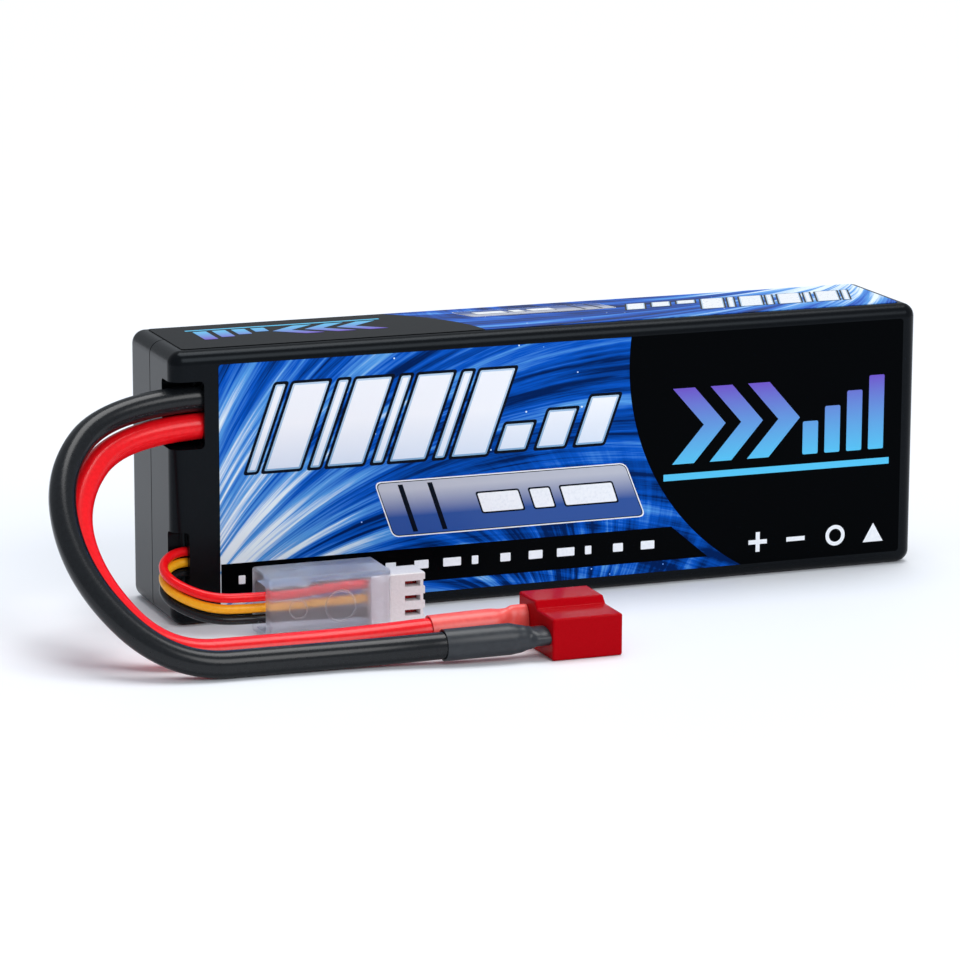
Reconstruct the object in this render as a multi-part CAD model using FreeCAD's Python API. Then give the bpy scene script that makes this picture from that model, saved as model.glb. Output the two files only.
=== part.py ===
"""Hard-case lithium polymer battery pack with a T plug, a balance plug and a balance plug guard.

Millimetres. The origin is the middle of the case's bottom, +X runs along the pack away from
the end where the leads come out, -Y is the big labelled face and +Z is up.
"""
import FreeCAD
import Part
import math
import os

V = FreeCAD.Vector
ALONG_X = V(1, 0, 0)
PAST = 1.0                      # how far a cutting shape runs past what it cuts

# --- Case ---------------------------------------------------------------------------------
CASE_LENGTH = 139.0
CASE_THICKNESS = 25.0
CASE_HEIGHT = 47.4
CASE_WALL = 1.2
CASE_EDGE_RADIUS = 2.3
LEAST_EDGE_RADIUS = 0.3         # inside the case, however thick its wall is
SEAM_WIDTH = 0.3
SEAM_DEPTH = 0.35
LIP_THICKNESS = 0.55
LIP_HEIGHT = 1.0
LIP_CLEARANCE = 0.08

# Corner pockets that the leads come out of, all open on the labelled face and the lead end.
MAIN_POCKET_LENGTH = 5.8
MAIN_POCKET_MARGIN = 1.1        # above the top main lead and below the bottom one
MAIN_POCKET_BACK_GAP = 0.2      # behind the main leads
BALANCE_POCKET_LENGTH = 2.9
BALANCE_POCKET_BACK_GAP = 0.2   # behind the balance leads
BALANCE_POCKET_BOTTOM = 3.3
BALANCE_POCKET_TOP = 16.4
POCKET_CORNER_RADIUS = 0.8

# --- Labels -------------------------------------------------------------------------------
LABEL_THICKNESS = 0.12
SIDE_LABEL_START = 8.3          # from the lead end to the edge of a side label
SIDE_LABEL_END = 2.9            # from a side label's other edge to the far end
LABEL_EDGE_GAP = 0.15           # from a label's edge to the start of the rounded case edge
TOP_LABEL_LENGTH = 133.6
LABEL_CORNER_RADIUS = 0.6

# --- Cells --------------------------------------------------------------------------------
CELL_EDGE_RADIUS = 1.8
CELL_END_GAP = 0.8              # from a cell's long sealed edges to the case
TERRACE_LENGTH = 4.0
TERRACE_THICKNESS = 0.4
BOND_TAPE_THICKNESS = 0.5
STRAP_THICKNESS = 0.12
STRAP_WIDTH = 14.0
STRAP_PLACES = (0.22, 0.78)     # shares of the cell's length
SIDE_PAD_THICKNESS = 1.0
SIDE_PAD_INSET = 2.0            # from a cell's ends to the pad's
END_PAD_THICKNESS = 0.6
CELL_CLEARANCE = 0.13
TAB_WIDTH = 6.0
TAB_THICKNESS = 0.2
TAB_INSET = 5.9                 # from a cell's long edge to the middle of its tab
TAB_GAP = 0.6                   # between two tabs folded towards each other
TAB_PAST_LEAD = 0.85            # how far the negative tab runs past the black lead's middle

# --- Tab board ----------------------------------------------------------------------------
BOARD_THICKNESS = 1.6
BOARD_MARGIN = 0.6              # from the board's edge to the case wall
BOARD_SLOT_CLEARANCE = 0.2
TERRACE_TO_BOARD = 1.0
WALL_TO_BOARD = 4.5             # from the main pocket's wall to the board's front
BUS_BELOW_LEAD = 2.4
BUS_THICKNESS = 0.2
BUS_PAST_LEAD = 1.0             # how far the positive strip runs past the red lead's middle
LINK_INSET = 0.5                # from a tab's edges to the series link's
TRACE_THICKNESS = 0.1
TRACE_WIDTH = 1.3
TAB_TO_BUS_GAP = 0.8
CARD_THICKNESS = 0.25
CARD_GAP = 0.4
CORE_GAP = 0.05
SOLDER_MOST_HEIGHT = 0.9
SOLDER_HEIGHT_SHARE = 0.6       # of the strands' diameter, on the thin leads
SOLDER_MOST_FLARE = 0.45
SOLDER_FLARE_SHARE = 0.35       # of the strands' diameter, on the thin leads

# --- Main leads ---------------------------------------------------------------------------
LEAD_DIAMETER = 4.6
LEAD_CORE_DIAMETER = 2.6
LEAD_GAP = 0.2                  # between the two main leads in their pocket
LEAD_TO_FACE = 0.8              # from a main lead to the labelled face
BLACK_LEAD_DROP = 8.5           # from the case's top to the black lead's middle
LEAD_CLEARANCE = 0.15
LEAD_TAIL = 1.3                 # insulation left inside the case

# --- Balance leads ------------------------------------------------------------------------
BALANCE_DIAMETER = 1.6
BALANCE_CORE_DIAMETER = 0.8
BALANCE_TO_WALL = 0.1           # from a balance lead in the pocket to the case wall's inside
BALANCE_BOARD_TO_WALL = 0.5     # the same at the board
BALANCE_TAIL = 1.7
BALANCE_LEAD_GAP = 0.3          # between two balance leads in their pocket
BALANCE_TOP_Z = 12.7

# --- T plug -------------------------------------------------------------------------------
T_PLUG_LENGTH = 12.4
T_PLUG_WIDTH = 15.7
T_PLUG_TALL = 8.35
T_PLUG_LOW = 7.15
T_PLUG_REAR = -17.3             # the face that the leads enter
T_PLUG_FAR = -39.4              # the side nearer the case
T_PLUG_TALL_WIDTH = 7.1
T_PLUG_STEP_WIDTH = 1.2
T_PLUG_EDGE = 0.4
CONTACT_WIDTH = 5.2
CONTACT_THICKNESS = 0.9
CONTACT_SLOT_CLEARANCE = 0.2    # from a contact's edges to its slot
CONTACT_SLOT_WIDTH = 2.4
CONTACT_BACK_WALL = 2.6
CONTACT_RECESS = 0.8
TAIL_WIDTH = 3.4
PLUG_SOLDER_INSET = 0.3         # from a lead's outside to the solder's
SPRING_THICKNESS = 0.25
SPRING_WIDTH = 4.4
SPRING_END_GAP = 0.5            # from a spring's ends to the contact's
SPRING_SLOT_GAP = 0.1           # from a bowed spring to its slot's wall
POSITIVE_PLUG_Y = -42.9
POSITIVE_PLUG_Z = 4.0
NEGATIVE_PLUG_Y = -51.6
NEGATIVE_PLUG_Z = 3.6
SLEEVE_WALL = 0.32
SLEEVE_CLEARANCE = 0.08

# --- Balance plug and its guard -----------------------------------------------------------
BALANCE_PITCH = 2.5
BALANCE_PLUG_LENGTH = 9.7
BALANCE_PLUG_DEPTH = 5.75
BALANCE_PLUG_HEIGHT = 8.7
BALANCE_PLUG_REAR = -38.9
BALANCE_PLUG_Y = -23.5
BALANCE_PLUG_EDGE = 0.25
BALANCE_BACK_WALL = 1.8
TERMINAL_SIZE = 1.7
TERMINAL_LENGTH = 5.2
TERMINAL_RECESS = 0.6
TERMINAL_WALL = 1.0             # behind a terminal's pin hole
BARREL_INSET = 0.1              # from a balance lead's outside to its crimp barrel's
TERMINAL_CLEARANCE = 0.1
PIN_HOLE = 0.8
WINDOW_LENGTH = 2.8
WINDOW_HEIGHT = 1.0
WINDOW_TO_FACE = 2.3            # from a window's middle to the mating face
NOTCH_DEPTH = 0.4
NOTCH_HEIGHT = 1.3
NOTCH_REACH = 1.1               # from the plug's side into its mating face
GUARD_LENGTH = 21.5
GUARD_END_WALL = 1.3
GUARD_SIDE_WALL = 1.3
GUARD_GRIP_WALL = 1.875         # beside the balance plug
GUARD_BOTTOM_WALL = 0.75
GUARD_TOP_WALL = 1.35
GUARD_GRIP = 2.8                # how far the guard reaches over the balance plug
GUARD_CLEARANCE = 0.2
GUARD_LEAD_BAY_LENGTH = 6.2
GUARD_LEAD_BAY_DEPTH = 5.4
GUARD_LEAD_BAY_HEIGHT = 8.2
GUARD_BAY_CORNER = 0.8
GUARD_EDGE = 0.5

# --- Values that follow from the ones above -----------------------------------------------
END_X = CASE_LENGTH / 2
SIDE_Y = CASE_THICKNESS / 2
MIDDLE_Z = CASE_HEIGHT / 2
INSIDE_Y = SIDE_Y - CASE_WALL
LEAD_Y = -SIDE_Y + LEAD_TO_FACE + LEAD_DIAMETER / 2
SLEEVE_BORE = LEAD_DIAMETER + 2 * SLEEVE_CLEARANCE
SLEEVE_DIAMETER = SLEEVE_BORE + 2 * SLEEVE_WALL
PLUG_SOLDER_DIAMETER = LEAD_DIAMETER - 2 * PLUG_SOLDER_INSET
CONTACT_SLOT_HEIGHT = CONTACT_WIDTH + 2 * CONTACT_SLOT_CLEARANCE
BALANCE_PITCH_AT_CASE = BALANCE_DIAMETER + BALANCE_LEAD_GAP
LEAD_BLACK_Z = CASE_HEIGHT - BLACK_LEAD_DROP
LEAD_RED_Z = LEAD_BLACK_Z - LEAD_DIAMETER - LEAD_GAP
MAIN_POCKET_BACK_Y = LEAD_Y + LEAD_DIAMETER / 2 + MAIN_POCKET_BACK_GAP
MAIN_WALL_X = -END_X + MAIN_POCKET_LENGTH + CASE_WALL
LEAD_START = MAIN_WALL_X + LEAD_TAIL
BALANCE_Y = -INSIDE_Y + BALANCE_TO_WALL + BALANCE_DIAMETER / 2
BALANCE_BOARD_Y = -INSIDE_Y + BALANCE_BOARD_TO_WALL + BALANCE_DIAMETER / 2
BALANCE_POCKET_BACK_Y = BALANCE_Y + BALANCE_DIAMETER / 2 + BALANCE_POCKET_BACK_GAP
BALANCE_START = MAIN_WALL_X + BALANCE_TAIL
BOARD_FRONT_X = MAIN_WALL_X + WALL_TO_BOARD
BOARD_BACK_X = BOARD_FRONT_X + BOARD_THICKNESS
TERRACE_X = BOARD_BACK_X + TERRACE_TO_BOARD
CELL_START_X = TERRACE_X + TERRACE_LENGTH
CELL_END_X = END_X - CASE_WALL - END_PAD_THICKNESS - CELL_CLEARANCE
CELL_LENGTH = CELL_END_X - CELL_START_X
CELL_HEIGHT = CASE_HEIGHT - 2 * (CASE_WALL + CELL_END_GAP)
CELL_OUTER_Y = INSIDE_Y - SIDE_PAD_THICKNESS - STRAP_THICKNESS - CELL_CLEARANCE
CELL_THICKNESS = CELL_OUTER_Y - BOND_TAPE_THICKNESS / 2
CELL_MIDDLE_Y = (BOND_TAPE_THICKNESS + CELL_THICKNESS) / 2
TAB_FRONT_X = BOARD_FRONT_X - TAB_THICKNESS
UPPER_TAB_Z = MIDDLE_Z + CELL_HEIGHT / 2 - TAB_INSET
LOWER_TAB_Z = MIDDLE_Z - CELL_HEIGHT / 2 + TAB_INSET
BUS_BOTTOM_Z = LEAD_RED_Z - BUS_BELOW_LEAD
BUS_TOP_Z = UPPER_TAB_Z - TAB_WIDTH / 2 - TAB_TO_BUS_GAP
BALANCE_Z = [BALANCE_TOP_Z - BALANCE_PITCH_AT_CASE * i for i in range(3)]
T_PLUG_FACE = T_PLUG_REAR + T_PLUG_LENGTH
BALANCE_PLUG_FACE = BALANCE_PLUG_REAR + BALANCE_PLUG_LENGTH
BALANCE_PLUG_Z = GUARD_BOTTOM_WALL + GUARD_CLEARANCE + BALANCE_PLUG_HEIGHT / 2
GUARD_MOUTH_DEPTH = BALANCE_PLUG_DEPTH + 2 * GUARD_CLEARANCE
GUARD_MOUTH_HEIGHT = BALANCE_PLUG_HEIGHT + 2 * GUARD_CLEARANCE
GUARD_DEPTH = GUARD_MOUTH_DEPTH + 2 * GUARD_GRIP_WALL
GUARD_HEIGHT = GUARD_BOTTOM_WALL + GUARD_MOUTH_HEIGHT + GUARD_TOP_WALL
GUARD_END = BALANCE_PLUG_REAR + GUARD_GRIP
GUARD_START = GUARD_END - GUARD_LENGTH
FLOOR_Z = LEAD_DIAMETER / 2     # the middle of a main lead that lies on the ground
TERMINAL_Z = [BALANCE_PLUG_Z + BALANCE_PITCH * (1 - i) for i in range(3)]

# --- Routes of the free leads, each the corner points of its runs -------------------------
BLACK_ROUTE = [
    (LEAD_START, LEAD_Y, LEAD_BLACK_Z),
    (-79.2, LEAD_Y, LEAD_BLACK_Z),
    (-91.8, -19.0, 29.5),
    (-91.8, -33.4, 15.0),
    (-80.0, -46.0, FLOOR_Z),
    (-60.5, -46.7, FLOOR_Z),
    (-45.0, -47.9, FLOOR_Z + 0.15),
    (-28.5, NEGATIVE_PLUG_Y, NEGATIVE_PLUG_Z),
    (-19.0, NEGATIVE_PLUG_Y, NEGATIVE_PLUG_Z),
]
RED_ROUTE = [
    (LEAD_START, LEAD_Y, LEAD_RED_Z),
    (-77.5, LEAD_Y, LEAD_RED_Z),
    (-88.4, -17.9, 25.0),
    (-88.4, -28.0, 13.9),
    (-79.0, -38.4, FLOOR_Z),
    (-61.5, -38.9, FLOOR_Z),
    (-46.5, -40.0, FLOOR_Z + 0.2),
    (-28.5, POSITIVE_PLUG_Y, POSITIVE_PLUG_Z),
    (-19.0, POSITIVE_PLUG_Y, POSITIVE_PLUG_Z),
]
# The top balance lead. The other two lie under it, a pitch apart, and fan out at the plug.
BALANCE_ROUTE = [
    (BALANCE_START, BALANCE_BOARD_Y, BALANCE_TOP_Z),
    (-64.5, BALANCE_Y, BALANCE_TOP_Z),
    (-68.7, BALANCE_Y, BALANCE_TOP_Z),
    (-71.9, -13.4, 11.5),
    (-71.9, -17.2, 9.9),
    (-69.0, -20.8, 8.3),
    (-65.2, -23.0, 7.3),
    (-60.2, -23.6, 7.1),
    (-51.5, -23.45, 7.1),
]
BALANCE_PLUG_RUN = [-43.6, -37.4]   # X of the last two points, straight into the plug
ARC_SHARE = 0.45                # of the shorter run beside a corner, taken up by its arc
VOLUME_TOLERANCE = 0.01         # between a lead's volume and its section times its length


def box(x0, x1, y0, y1, z0, z1):
    """A block between two opposite corners, given axis by axis."""
    return Part.makeBox(x1 - x0, y1 - y0, z1 - z0, V(x0, y0, z0))


def centred(x0, x1, y, width, z, height):
    """A block from x0 to x1 with its middle at y and z."""
    return box(x0, x1, y - width / 2, y + width / 2, z - height / 2, z + height / 2)


def rod(x0, x1, y, z, diameter):
    """A round bar along X."""
    return Part.makeCylinder(diameter / 2, x1 - x0, V(x0, y, z), ALONG_X)


def obround(x0, x1, y, z_low, z_high, width):
    """A bar along X with round ends below z_low and above z_high."""
    middle = box(x0, x1, y - width / 2, y + width / 2, z_low, z_high)
    ends = [rod(x0, x1, y, z_low, width), rod(x0, x1, y, z_high, width)]
    return middle.fuse(ends).removeSplitter()


def edges_along(shape, direction):
    """The straight edges of a shape that run along one axis."""
    found = []
    for edge in shape.Edges:
        span = edge.Vertexes[-1].Point - edge.Vertexes[0].Point
        if edge.Length > 1e-6 and abs(abs(span.dot(direction)) - edge.Length) < 1e-6:
            found.append(edge)
    return found


def joined(shapes):
    """Several shapes fused into one solid."""
    return shapes[0].fuse(shapes[1:]).removeSplitter()


# --- Case shells --------------------------------------------------------------------------
def case_block(inset):
    """The case's rounded outer block, shrunk by inset on every side."""
    radius = max(CASE_EDGE_RADIUS - inset, LEAST_EDGE_RADIUS)
    block = box(-END_X + inset, END_X - inset, -SIDE_Y + inset, SIDE_Y - inset,
                inset, CASE_HEIGHT - inset)
    return block.makeFillet(radius, block.Edges)


def pocket(length, back_y, z0, z1, grow=0.0):
    """A corner pocket's space, run out past the case's two open sides."""
    past = CASE_WALL + PAST     # beyond the rounded corners that the growing adds
    space = box(-END_X - past, -END_X + length + grow, -SIDE_Y - past, back_y + grow,
                z0 - grow, z1 + grow)
    return space.makeFillet(POCKET_CORNER_RADIUS, space.Edges)


def main_pocket(grow=0.0):
    """The pocket of the two main leads."""
    reach = LEAD_DIAMETER / 2 + MAIN_POCKET_MARGIN
    return pocket(MAIN_POCKET_LENGTH, MAIN_POCKET_BACK_Y,
                  LEAD_RED_Z - reach, LEAD_BLACK_Z + reach, grow)


def balance_pocket(grow=0.0):
    """The pocket of the three balance leads."""
    return pocket(BALANCE_POCKET_LENGTH, BALANCE_POCKET_BACK_Y,
                  BALANCE_POCKET_BOTTOM, BALANCE_POCKET_TOP, grow)


def main_window(x0, x1):
    """The opening that the two main leads share."""
    return obround(x0, x1, LEAD_Y, LEAD_RED_Z, LEAD_BLACK_Z, LEAD_DIAMETER + 2 * LEAD_CLEARANCE)


def balance_window(x0, x1):
    """The opening that the three balance leads share."""
    return obround(x0, x1, BALANCE_Y, BALANCE_Z[2], BALANCE_Z[0],
                   BALANCE_DIAMETER + 2 * LEAD_CLEARANCE)


def lead_windows():
    """Both lead openings, from the pockets through the walls to where the insulation ends."""
    main_x = -END_X + MAIN_POCKET_LENGTH
    balance_x = -END_X + BALANCE_POCKET_LENGTH
    return [main_window(main_x - PAST, LEAD_START + CARD_GAP),
            balance_window(balance_x - PAST, balance_x + CASE_WALL + PAST)]


def slab(y0, y1):
    """All space between two heights across the case's thickness."""
    return box(-END_X - PAST, END_X + PAST, y0, y1, -PAST, CASE_HEIGHT + PAST)


def lip_ring(clearance):
    """The tongue that centres one shell in the other, or its rebate when clearance is given."""
    outer = case_block(CASE_WALL - LIP_THICKNESS - clearance)
    ring = outer.cut(case_block(CASE_WALL))
    return ring.common(slab(0, LIP_HEIGHT + clearance))


def seam_groove():
    """The fine groove round the case where the two shells meet."""
    return slab(-SEAM_WIDTH / 2, SEAM_WIDTH / 2).cut(case_block(SEAM_DEPTH))


def hollow_case():
    """The whole case as one hollow block, with its pockets and lead openings."""
    outer = case_block(0)
    cavity = case_block(CASE_WALL)
    walls = [main_pocket(CASE_WALL), balance_pocket(CASE_WALL)]
    cavity = cavity.cut(walls)
    return outer.cut([cavity, main_pocket(), balance_pocket()] + lead_windows())


def front_shell():
    """The labelled half, with the lead pockets and the centring lip."""
    half = hollow_case().common(slab(-2 * SIDE_Y, 0))
    return half.cut(seam_groove()).fuse(lip_ring(0)).removeSplitter()


def back_shell():
    """The plain half, with a rebate for the lip."""
    half = hollow_case().common(slab(0, 2 * SIDE_Y))
    return half.cut([seam_groove(), lip_ring(LIP_CLEARANCE)])


# --- Labels -------------------------------------------------------------------------------
def side_label(side):
    """A label on one big face: side -1 is the front, 1 the back."""
    inset = CASE_EDGE_RADIUS + LABEL_EDGE_GAP
    y0 = min(side * SIDE_Y, side * (SIDE_Y + LABEL_THICKNESS))
    sheet = box(-END_X + SIDE_LABEL_START, END_X - SIDE_LABEL_END, y0, y0 + LABEL_THICKNESS,
                inset, CASE_HEIGHT - inset)
    return sheet.makeFillet(LABEL_CORNER_RADIUS, edges_along(sheet, V(0, 1, 0)))


def top_label():
    """The label that covers the flat top and its seam."""
    half_width = SIDE_Y - CASE_EDGE_RADIUS - LABEL_EDGE_GAP
    sheet = box(-TOP_LABEL_LENGTH / 2, TOP_LABEL_LENGTH / 2, -half_width, half_width,
                CASE_HEIGHT, CASE_HEIGHT + LABEL_THICKNESS)
    return sheet.makeFillet(LABEL_CORNER_RADIUS, edges_along(sheet, V(0, 0, 1)))


# --- Cells --------------------------------------------------------------------------------
def pouch(side):
    """One pouch cell with the sealed terrace that its tabs come out of."""
    y = side * CELL_MIDDLE_Y
    body = centred(CELL_START_X, CELL_END_X, y, CELL_THICKNESS, MIDDLE_Z, CELL_HEIGHT)
    body = body.makeFillet(CELL_EDGE_RADIUS, body.Edges)
    terrace = centred(TERRACE_X, CELL_START_X + PAST, y, TERRACE_THICKNESS,
                      MIDDLE_Z, CELL_HEIGHT - 2 * CELL_EDGE_RADIUS)
    return joined([body, terrace])


def cell_tab(side, z, y_end):
    """A flat tab, out through the board and folded down on its front as far as y_end."""
    y = side * CELL_MIDDLE_Y
    strip = centred(TAB_FRONT_X, TERRACE_X, y, TAB_THICKNESS, z, TAB_WIDTH)
    flap = box(TAB_FRONT_X, BOARD_FRONT_X, min(y, y_end), max(y, y_end),
               z - TAB_WIDTH / 2, z + TAB_WIDTH / 2)
    return joined([strip, flap])


def strap_tape():
    """Two bands of film tape round the pair of cells."""
    width = 2 * CELL_MIDDLE_Y + CELL_THICKNESS
    bands = []
    for fraction in STRAP_PLACES:
        x = CELL_START_X + CELL_LENGTH * fraction
        hole = centred(x - STRAP_WIDTH, x + STRAP_WIDTH, 0, width, MIDDLE_Z, CELL_HEIGHT)
        hole = hole.makeFillet(CELL_EDGE_RADIUS, edges_along(hole, ALONG_X))
        grown = 2 * STRAP_THICKNESS
        band = centred(x - STRAP_WIDTH / 2, x + STRAP_WIDTH / 2, 0, width + grown,
                       MIDDLE_Z, CELL_HEIGHT + grown)
        band = band.makeFillet(CELL_EDGE_RADIUS + STRAP_THICKNESS, edges_along(band, ALONG_X))
        bands.append(band.cut(hole))
    return Part.makeCompound(bands)


def bond_tape():
    """The double-sided tape between the two cells."""
    return centred(CELL_START_X + CELL_EDGE_RADIUS, CELL_END_X - CELL_EDGE_RADIUS,
                   0, BOND_TAPE_THICKNESS, MIDDLE_Z, CELL_HEIGHT - 2 * CELL_EDGE_RADIUS)


def side_pad(side):
    """A foam sheet between a cell and the big wall of its shell."""
    inner = CELL_OUTER_Y + STRAP_THICKNESS
    outer = inner + SIDE_PAD_THICKNESS
    return centred(CELL_START_X + SIDE_PAD_INSET, CELL_END_X - SIDE_PAD_INSET,
                   side * (inner + outer) / 2, outer - inner, MIDDLE_Z, CELL_HEIGHT - 2 * CELL_EDGE_RADIUS)


def end_pad():
    """The foam block that pushes the cells towards the tab board."""
    return centred(CELL_END_X, CELL_END_X + END_PAD_THICKNESS, 0, 2 * INSIDE_Y - 2 * CASE_WALL,
                   MIDDLE_Z, CELL_HEIGHT - 2 * CELL_EDGE_RADIUS)


# --- Tab board ----------------------------------------------------------------------------
def board_outline(x0, x1, margin):
    """A plate across the case's inside."""
    return centred(x0, x1, 0, 2 * (INSIDE_Y - margin), MIDDLE_Z,
                   CASE_HEIGHT - 2 * (CASE_WALL + margin))


def via_places():
    """Where the negative balance trace passes through the board, as (y, z)."""
    return [(BALANCE_BOARD_Y, BALANCE_Z[2]), (BALANCE_BOARD_Y, UPPER_TAB_Z)]


def tab_board():
    """The small circuit board that gathers the cell tabs and the leads."""
    board = board_outline(BOARD_FRONT_X, BOARD_BACK_X, BOARD_MARGIN)
    slots = []
    for side in (-1, 1):
        for z in (LOWER_TAB_Z, UPPER_TAB_Z):
            slots.append(centred(BOARD_FRONT_X - PAST, BOARD_BACK_X + PAST, side * CELL_MIDDLE_Y,
                                 TAB_THICKNESS + 2 * BOARD_SLOT_CLEARANCE, z,
                                 TAB_WIDTH + 2 * BOARD_SLOT_CLEARANCE))
    for y, z in via_places():
        slots.append(rod(BOARD_FRONT_X - PAST, BOARD_BACK_X + PAST, y, z,
                         BALANCE_CORE_DIAMETER))
    return board.cut(slots)


def positive_bus():
    """The strip from the back cell's positive tab to the red main lead."""
    run = box(TAB_FRONT_X, BOARD_FRONT_X, LEAD_Y - BUS_PAST_LEAD, CELL_MIDDLE_Y,
              BUS_BOTTOM_Z, BUS_TOP_Z)
    riser = box(TAB_FRONT_X, BOARD_FRONT_X, TAB_GAP, CELL_MIDDLE_Y,
                BUS_BOTTOM_Z, UPPER_TAB_Z - TAB_WIDTH / 2)
    return joined([run, riser])


def series_link():
    """The strip that joins the two cells in series, laid over both folded tabs."""
    reach = CELL_MIDDLE_Y - TAB_GAP
    return centred(TAB_FRONT_X - BUS_THICKNESS, TAB_FRONT_X, 0, 2 * reach,
                   LOWER_TAB_Z, TAB_WIDTH - 2 * LINK_INSET)


def board_traces():
    """The three balance traces: positive and middle on the front, negative on the back."""
    front = (BOARD_FRONT_X - TRACE_THICKNESS, BOARD_FRONT_X)
    half = TRACE_WIDTH / 2
    y = BALANCE_BOARD_Y
    positive = box(front[0], front[1], y - half, y + half, BALANCE_Z[0] - half, BUS_BOTTOM_Z)
    middle = box(front[0], front[1], y - half, -CELL_MIDDLE_Y - TAB_THICKNESS / 2,
                 BALANCE_Z[1] - half / 2, BALANCE_Z[1] + half / 2)
    negative = [box(BOARD_BACK_X, BOARD_BACK_X + TRACE_THICKNESS, y - half, y + half,
                    BALANCE_Z[2] - half, UPPER_TAB_Z + half)]
    for via_y, z in via_places():
        negative.append(rod(BOARD_FRONT_X, BOARD_BACK_X, via_y, z, BALANCE_CORE_DIAMETER))
    return Part.makeCompound([positive, middle, joined(negative)])


def lead_joints():
    """Each soldered lead end on the board, as (y, z, core diameter, solder foot X, start X)."""
    trace_x = BOARD_FRONT_X - TRACE_THICKNESS
    rows = [(LEAD_Y, LEAD_RED_Z, LEAD_CORE_DIAMETER, TAB_FRONT_X, LEAD_START),
            (LEAD_Y, LEAD_BLACK_Z, LEAD_CORE_DIAMETER, TAB_FRONT_X, LEAD_START)]
    for i in range(2):
        rows.append((BALANCE_BOARD_Y, BALANCE_Z[i], BALANCE_CORE_DIAMETER, trace_x, BALANCE_START))
    rows.append((BALANCE_BOARD_Y, BALANCE_Z[2], BALANCE_CORE_DIAMETER, BOARD_FRONT_X,
                 BALANCE_START))
    return rows


def lead_core_ends():
    """The stripped strands between each lead's insulation and the board."""
    return Part.makeCompound([rod(start + CORE_GAP, foot, y, z, d)
                              for y, z, d, foot, start in lead_joints()])


def solder_joints():
    """A cone of solder round each lead's strands, cut off where the next one begins."""
    cones = []
    for y, z, d, foot, _ in lead_joints():
        height = min(SOLDER_MOST_HEIGHT, SOLDER_HEIGHT_SHARE * d)
        flare = min(SOLDER_MOST_FLARE, SOLDER_FLARE_SHARE * d)
        cone = Part.makeCone(d / 2 + flare, d / 2 + CORE_GAP, height, V(foot, y, z), -ALONG_X)
        cone = cone.common(box(foot - height, foot, -INSIDE_Y + CORE_GAP, 0, 0, CASE_HEIGHT))
        cones.append(cone.cut(rod(foot - height - PAST, foot + PAST, y, z, d)))
    return Part.makeCompound(cones)


def insulating_card():
    """The fibre card between the soldered joints and the lead end of the case."""
    x1 = -END_X + MAIN_POCKET_LENGTH + CASE_WALL + CARD_GAP + CARD_THICKNESS
    x0 = x1 - CARD_THICKNESS
    card = board_outline(x0, x1, CARD_GAP)
    windows = []
    for y, z_low, z_high, d in ((LEAD_Y, LEAD_RED_Z, LEAD_BLACK_Z, LEAD_DIAMETER),
                                (BALANCE_BOARD_Y, BALANCE_Z[2], BALANCE_Z[0], BALANCE_DIAMETER)):
        reach = d / 2 + CARD_GAP
        windows.append(box(x0 - PAST, x1 + PAST, -SIDE_Y, y + reach, z_low - reach, z_high + reach))
    return card.cut(windows)


# --- Free leads ---------------------------------------------------------------------------
def corner_radius(before, corner, after):
    """The radius of the arc at a route's corner, as large as its shorter run allows."""
    back = before - corner
    ahead = after - corner
    turn = math.pi - back.getAngle(ahead)
    return ARC_SHARE * min(back.Length, ahead.Length) / math.tan(turn / 2)


def corner_arc(before, corner, after):
    """The arc that rounds one corner of a route, as start, middle and end points."""
    back = (before - corner).normalize()
    ahead = (after - corner).normalize()
    reach = ARC_SHARE * min((before - corner).Length, (after - corner).Length)
    start = corner + back * reach
    end = corner + ahead * reach
    radius = corner_radius(before, corner, after)
    inward = (back + ahead).normalize()
    to_centre = math.hypot(radius, reach)
    middle = corner + inward * (to_centre - radius)
    return start, middle, end


def route_edges(route):
    """A route as straight edges joined by tangent arcs, in order from its first point."""
    points = [V(*p) for p in route]
    edges = []
    here = points[0]
    for i in range(1, len(points) - 1):
        start, middle, end = corner_arc(points[i - 1], points[i], points[i + 1])
        edges.append(Part.LineSegment(here, start).toShape())
        edges.append(Part.Arc(start, middle, end).toShape())
        here = end
    edges.append(Part.LineSegment(here, points[-1]).toShape())
    return edges


def tube(edges, diameter):
    """A round solid swept along a chain of edges."""
    path = Part.Wire(edges)
    start = edges[0].Vertexes[0].Point
    along = edges[0].tangentAt(edges[0].FirstParameter)
    ring = Part.Wire([Part.makeCircle(diameter / 2, start, along)])
    solid = path.makePipeShell([ring], True, True)
    expected = math.pi * diameter ** 2 / 4 * path.Length
    if abs(solid.Volume / expected - 1) > VOLUME_TOLERANCE:
        raise ValueError("a lead's volume is not its section times its length")
    return solid


def lead(name, route, diameter):
    """One free lead, with its bend radii and its length printed."""
    points = [V(*p) for p in route]
    radii = [corner_radius(*points[i - 1:i + 2]) for i in range(1, len(points) - 1)]
    edges = route_edges(route)
    length = sum(edge.Length for edge in edges)
    print(name, "length %.1f mm, diameter %.1f, radii" % (length, diameter),
          " ".join("%.1f" % r for r in radii))
    return tube(edges, diameter)


def sleeve(route):
    """The shrunk sleeve over the end of a main lead, from its last bend to the T plug."""
    bend, run = route_edges(route)[-2:]
    start = run.Vertexes[0].Point
    end = V(T_PLUG_REAR, start.y, start.z)
    outer = tube([bend, Part.makeLine(start, end)], SLEEVE_DIAMETER)
    inner = tube([bend, Part.makeLine(start, end + ALONG_X)], SLEEVE_BORE)
    return outer.cut(inner)


def balance_route(row):
    """The route of one balance lead: row 0 is the top one."""
    drop = BALANCE_PITCH_AT_CASE * row
    points = [(x, y, z - drop) for x, y, z in BALANCE_ROUTE]
    return points + [(x, BALANCE_PLUG_Y, TERMINAL_Z[row]) for x in BALANCE_PLUG_RUN]


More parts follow.
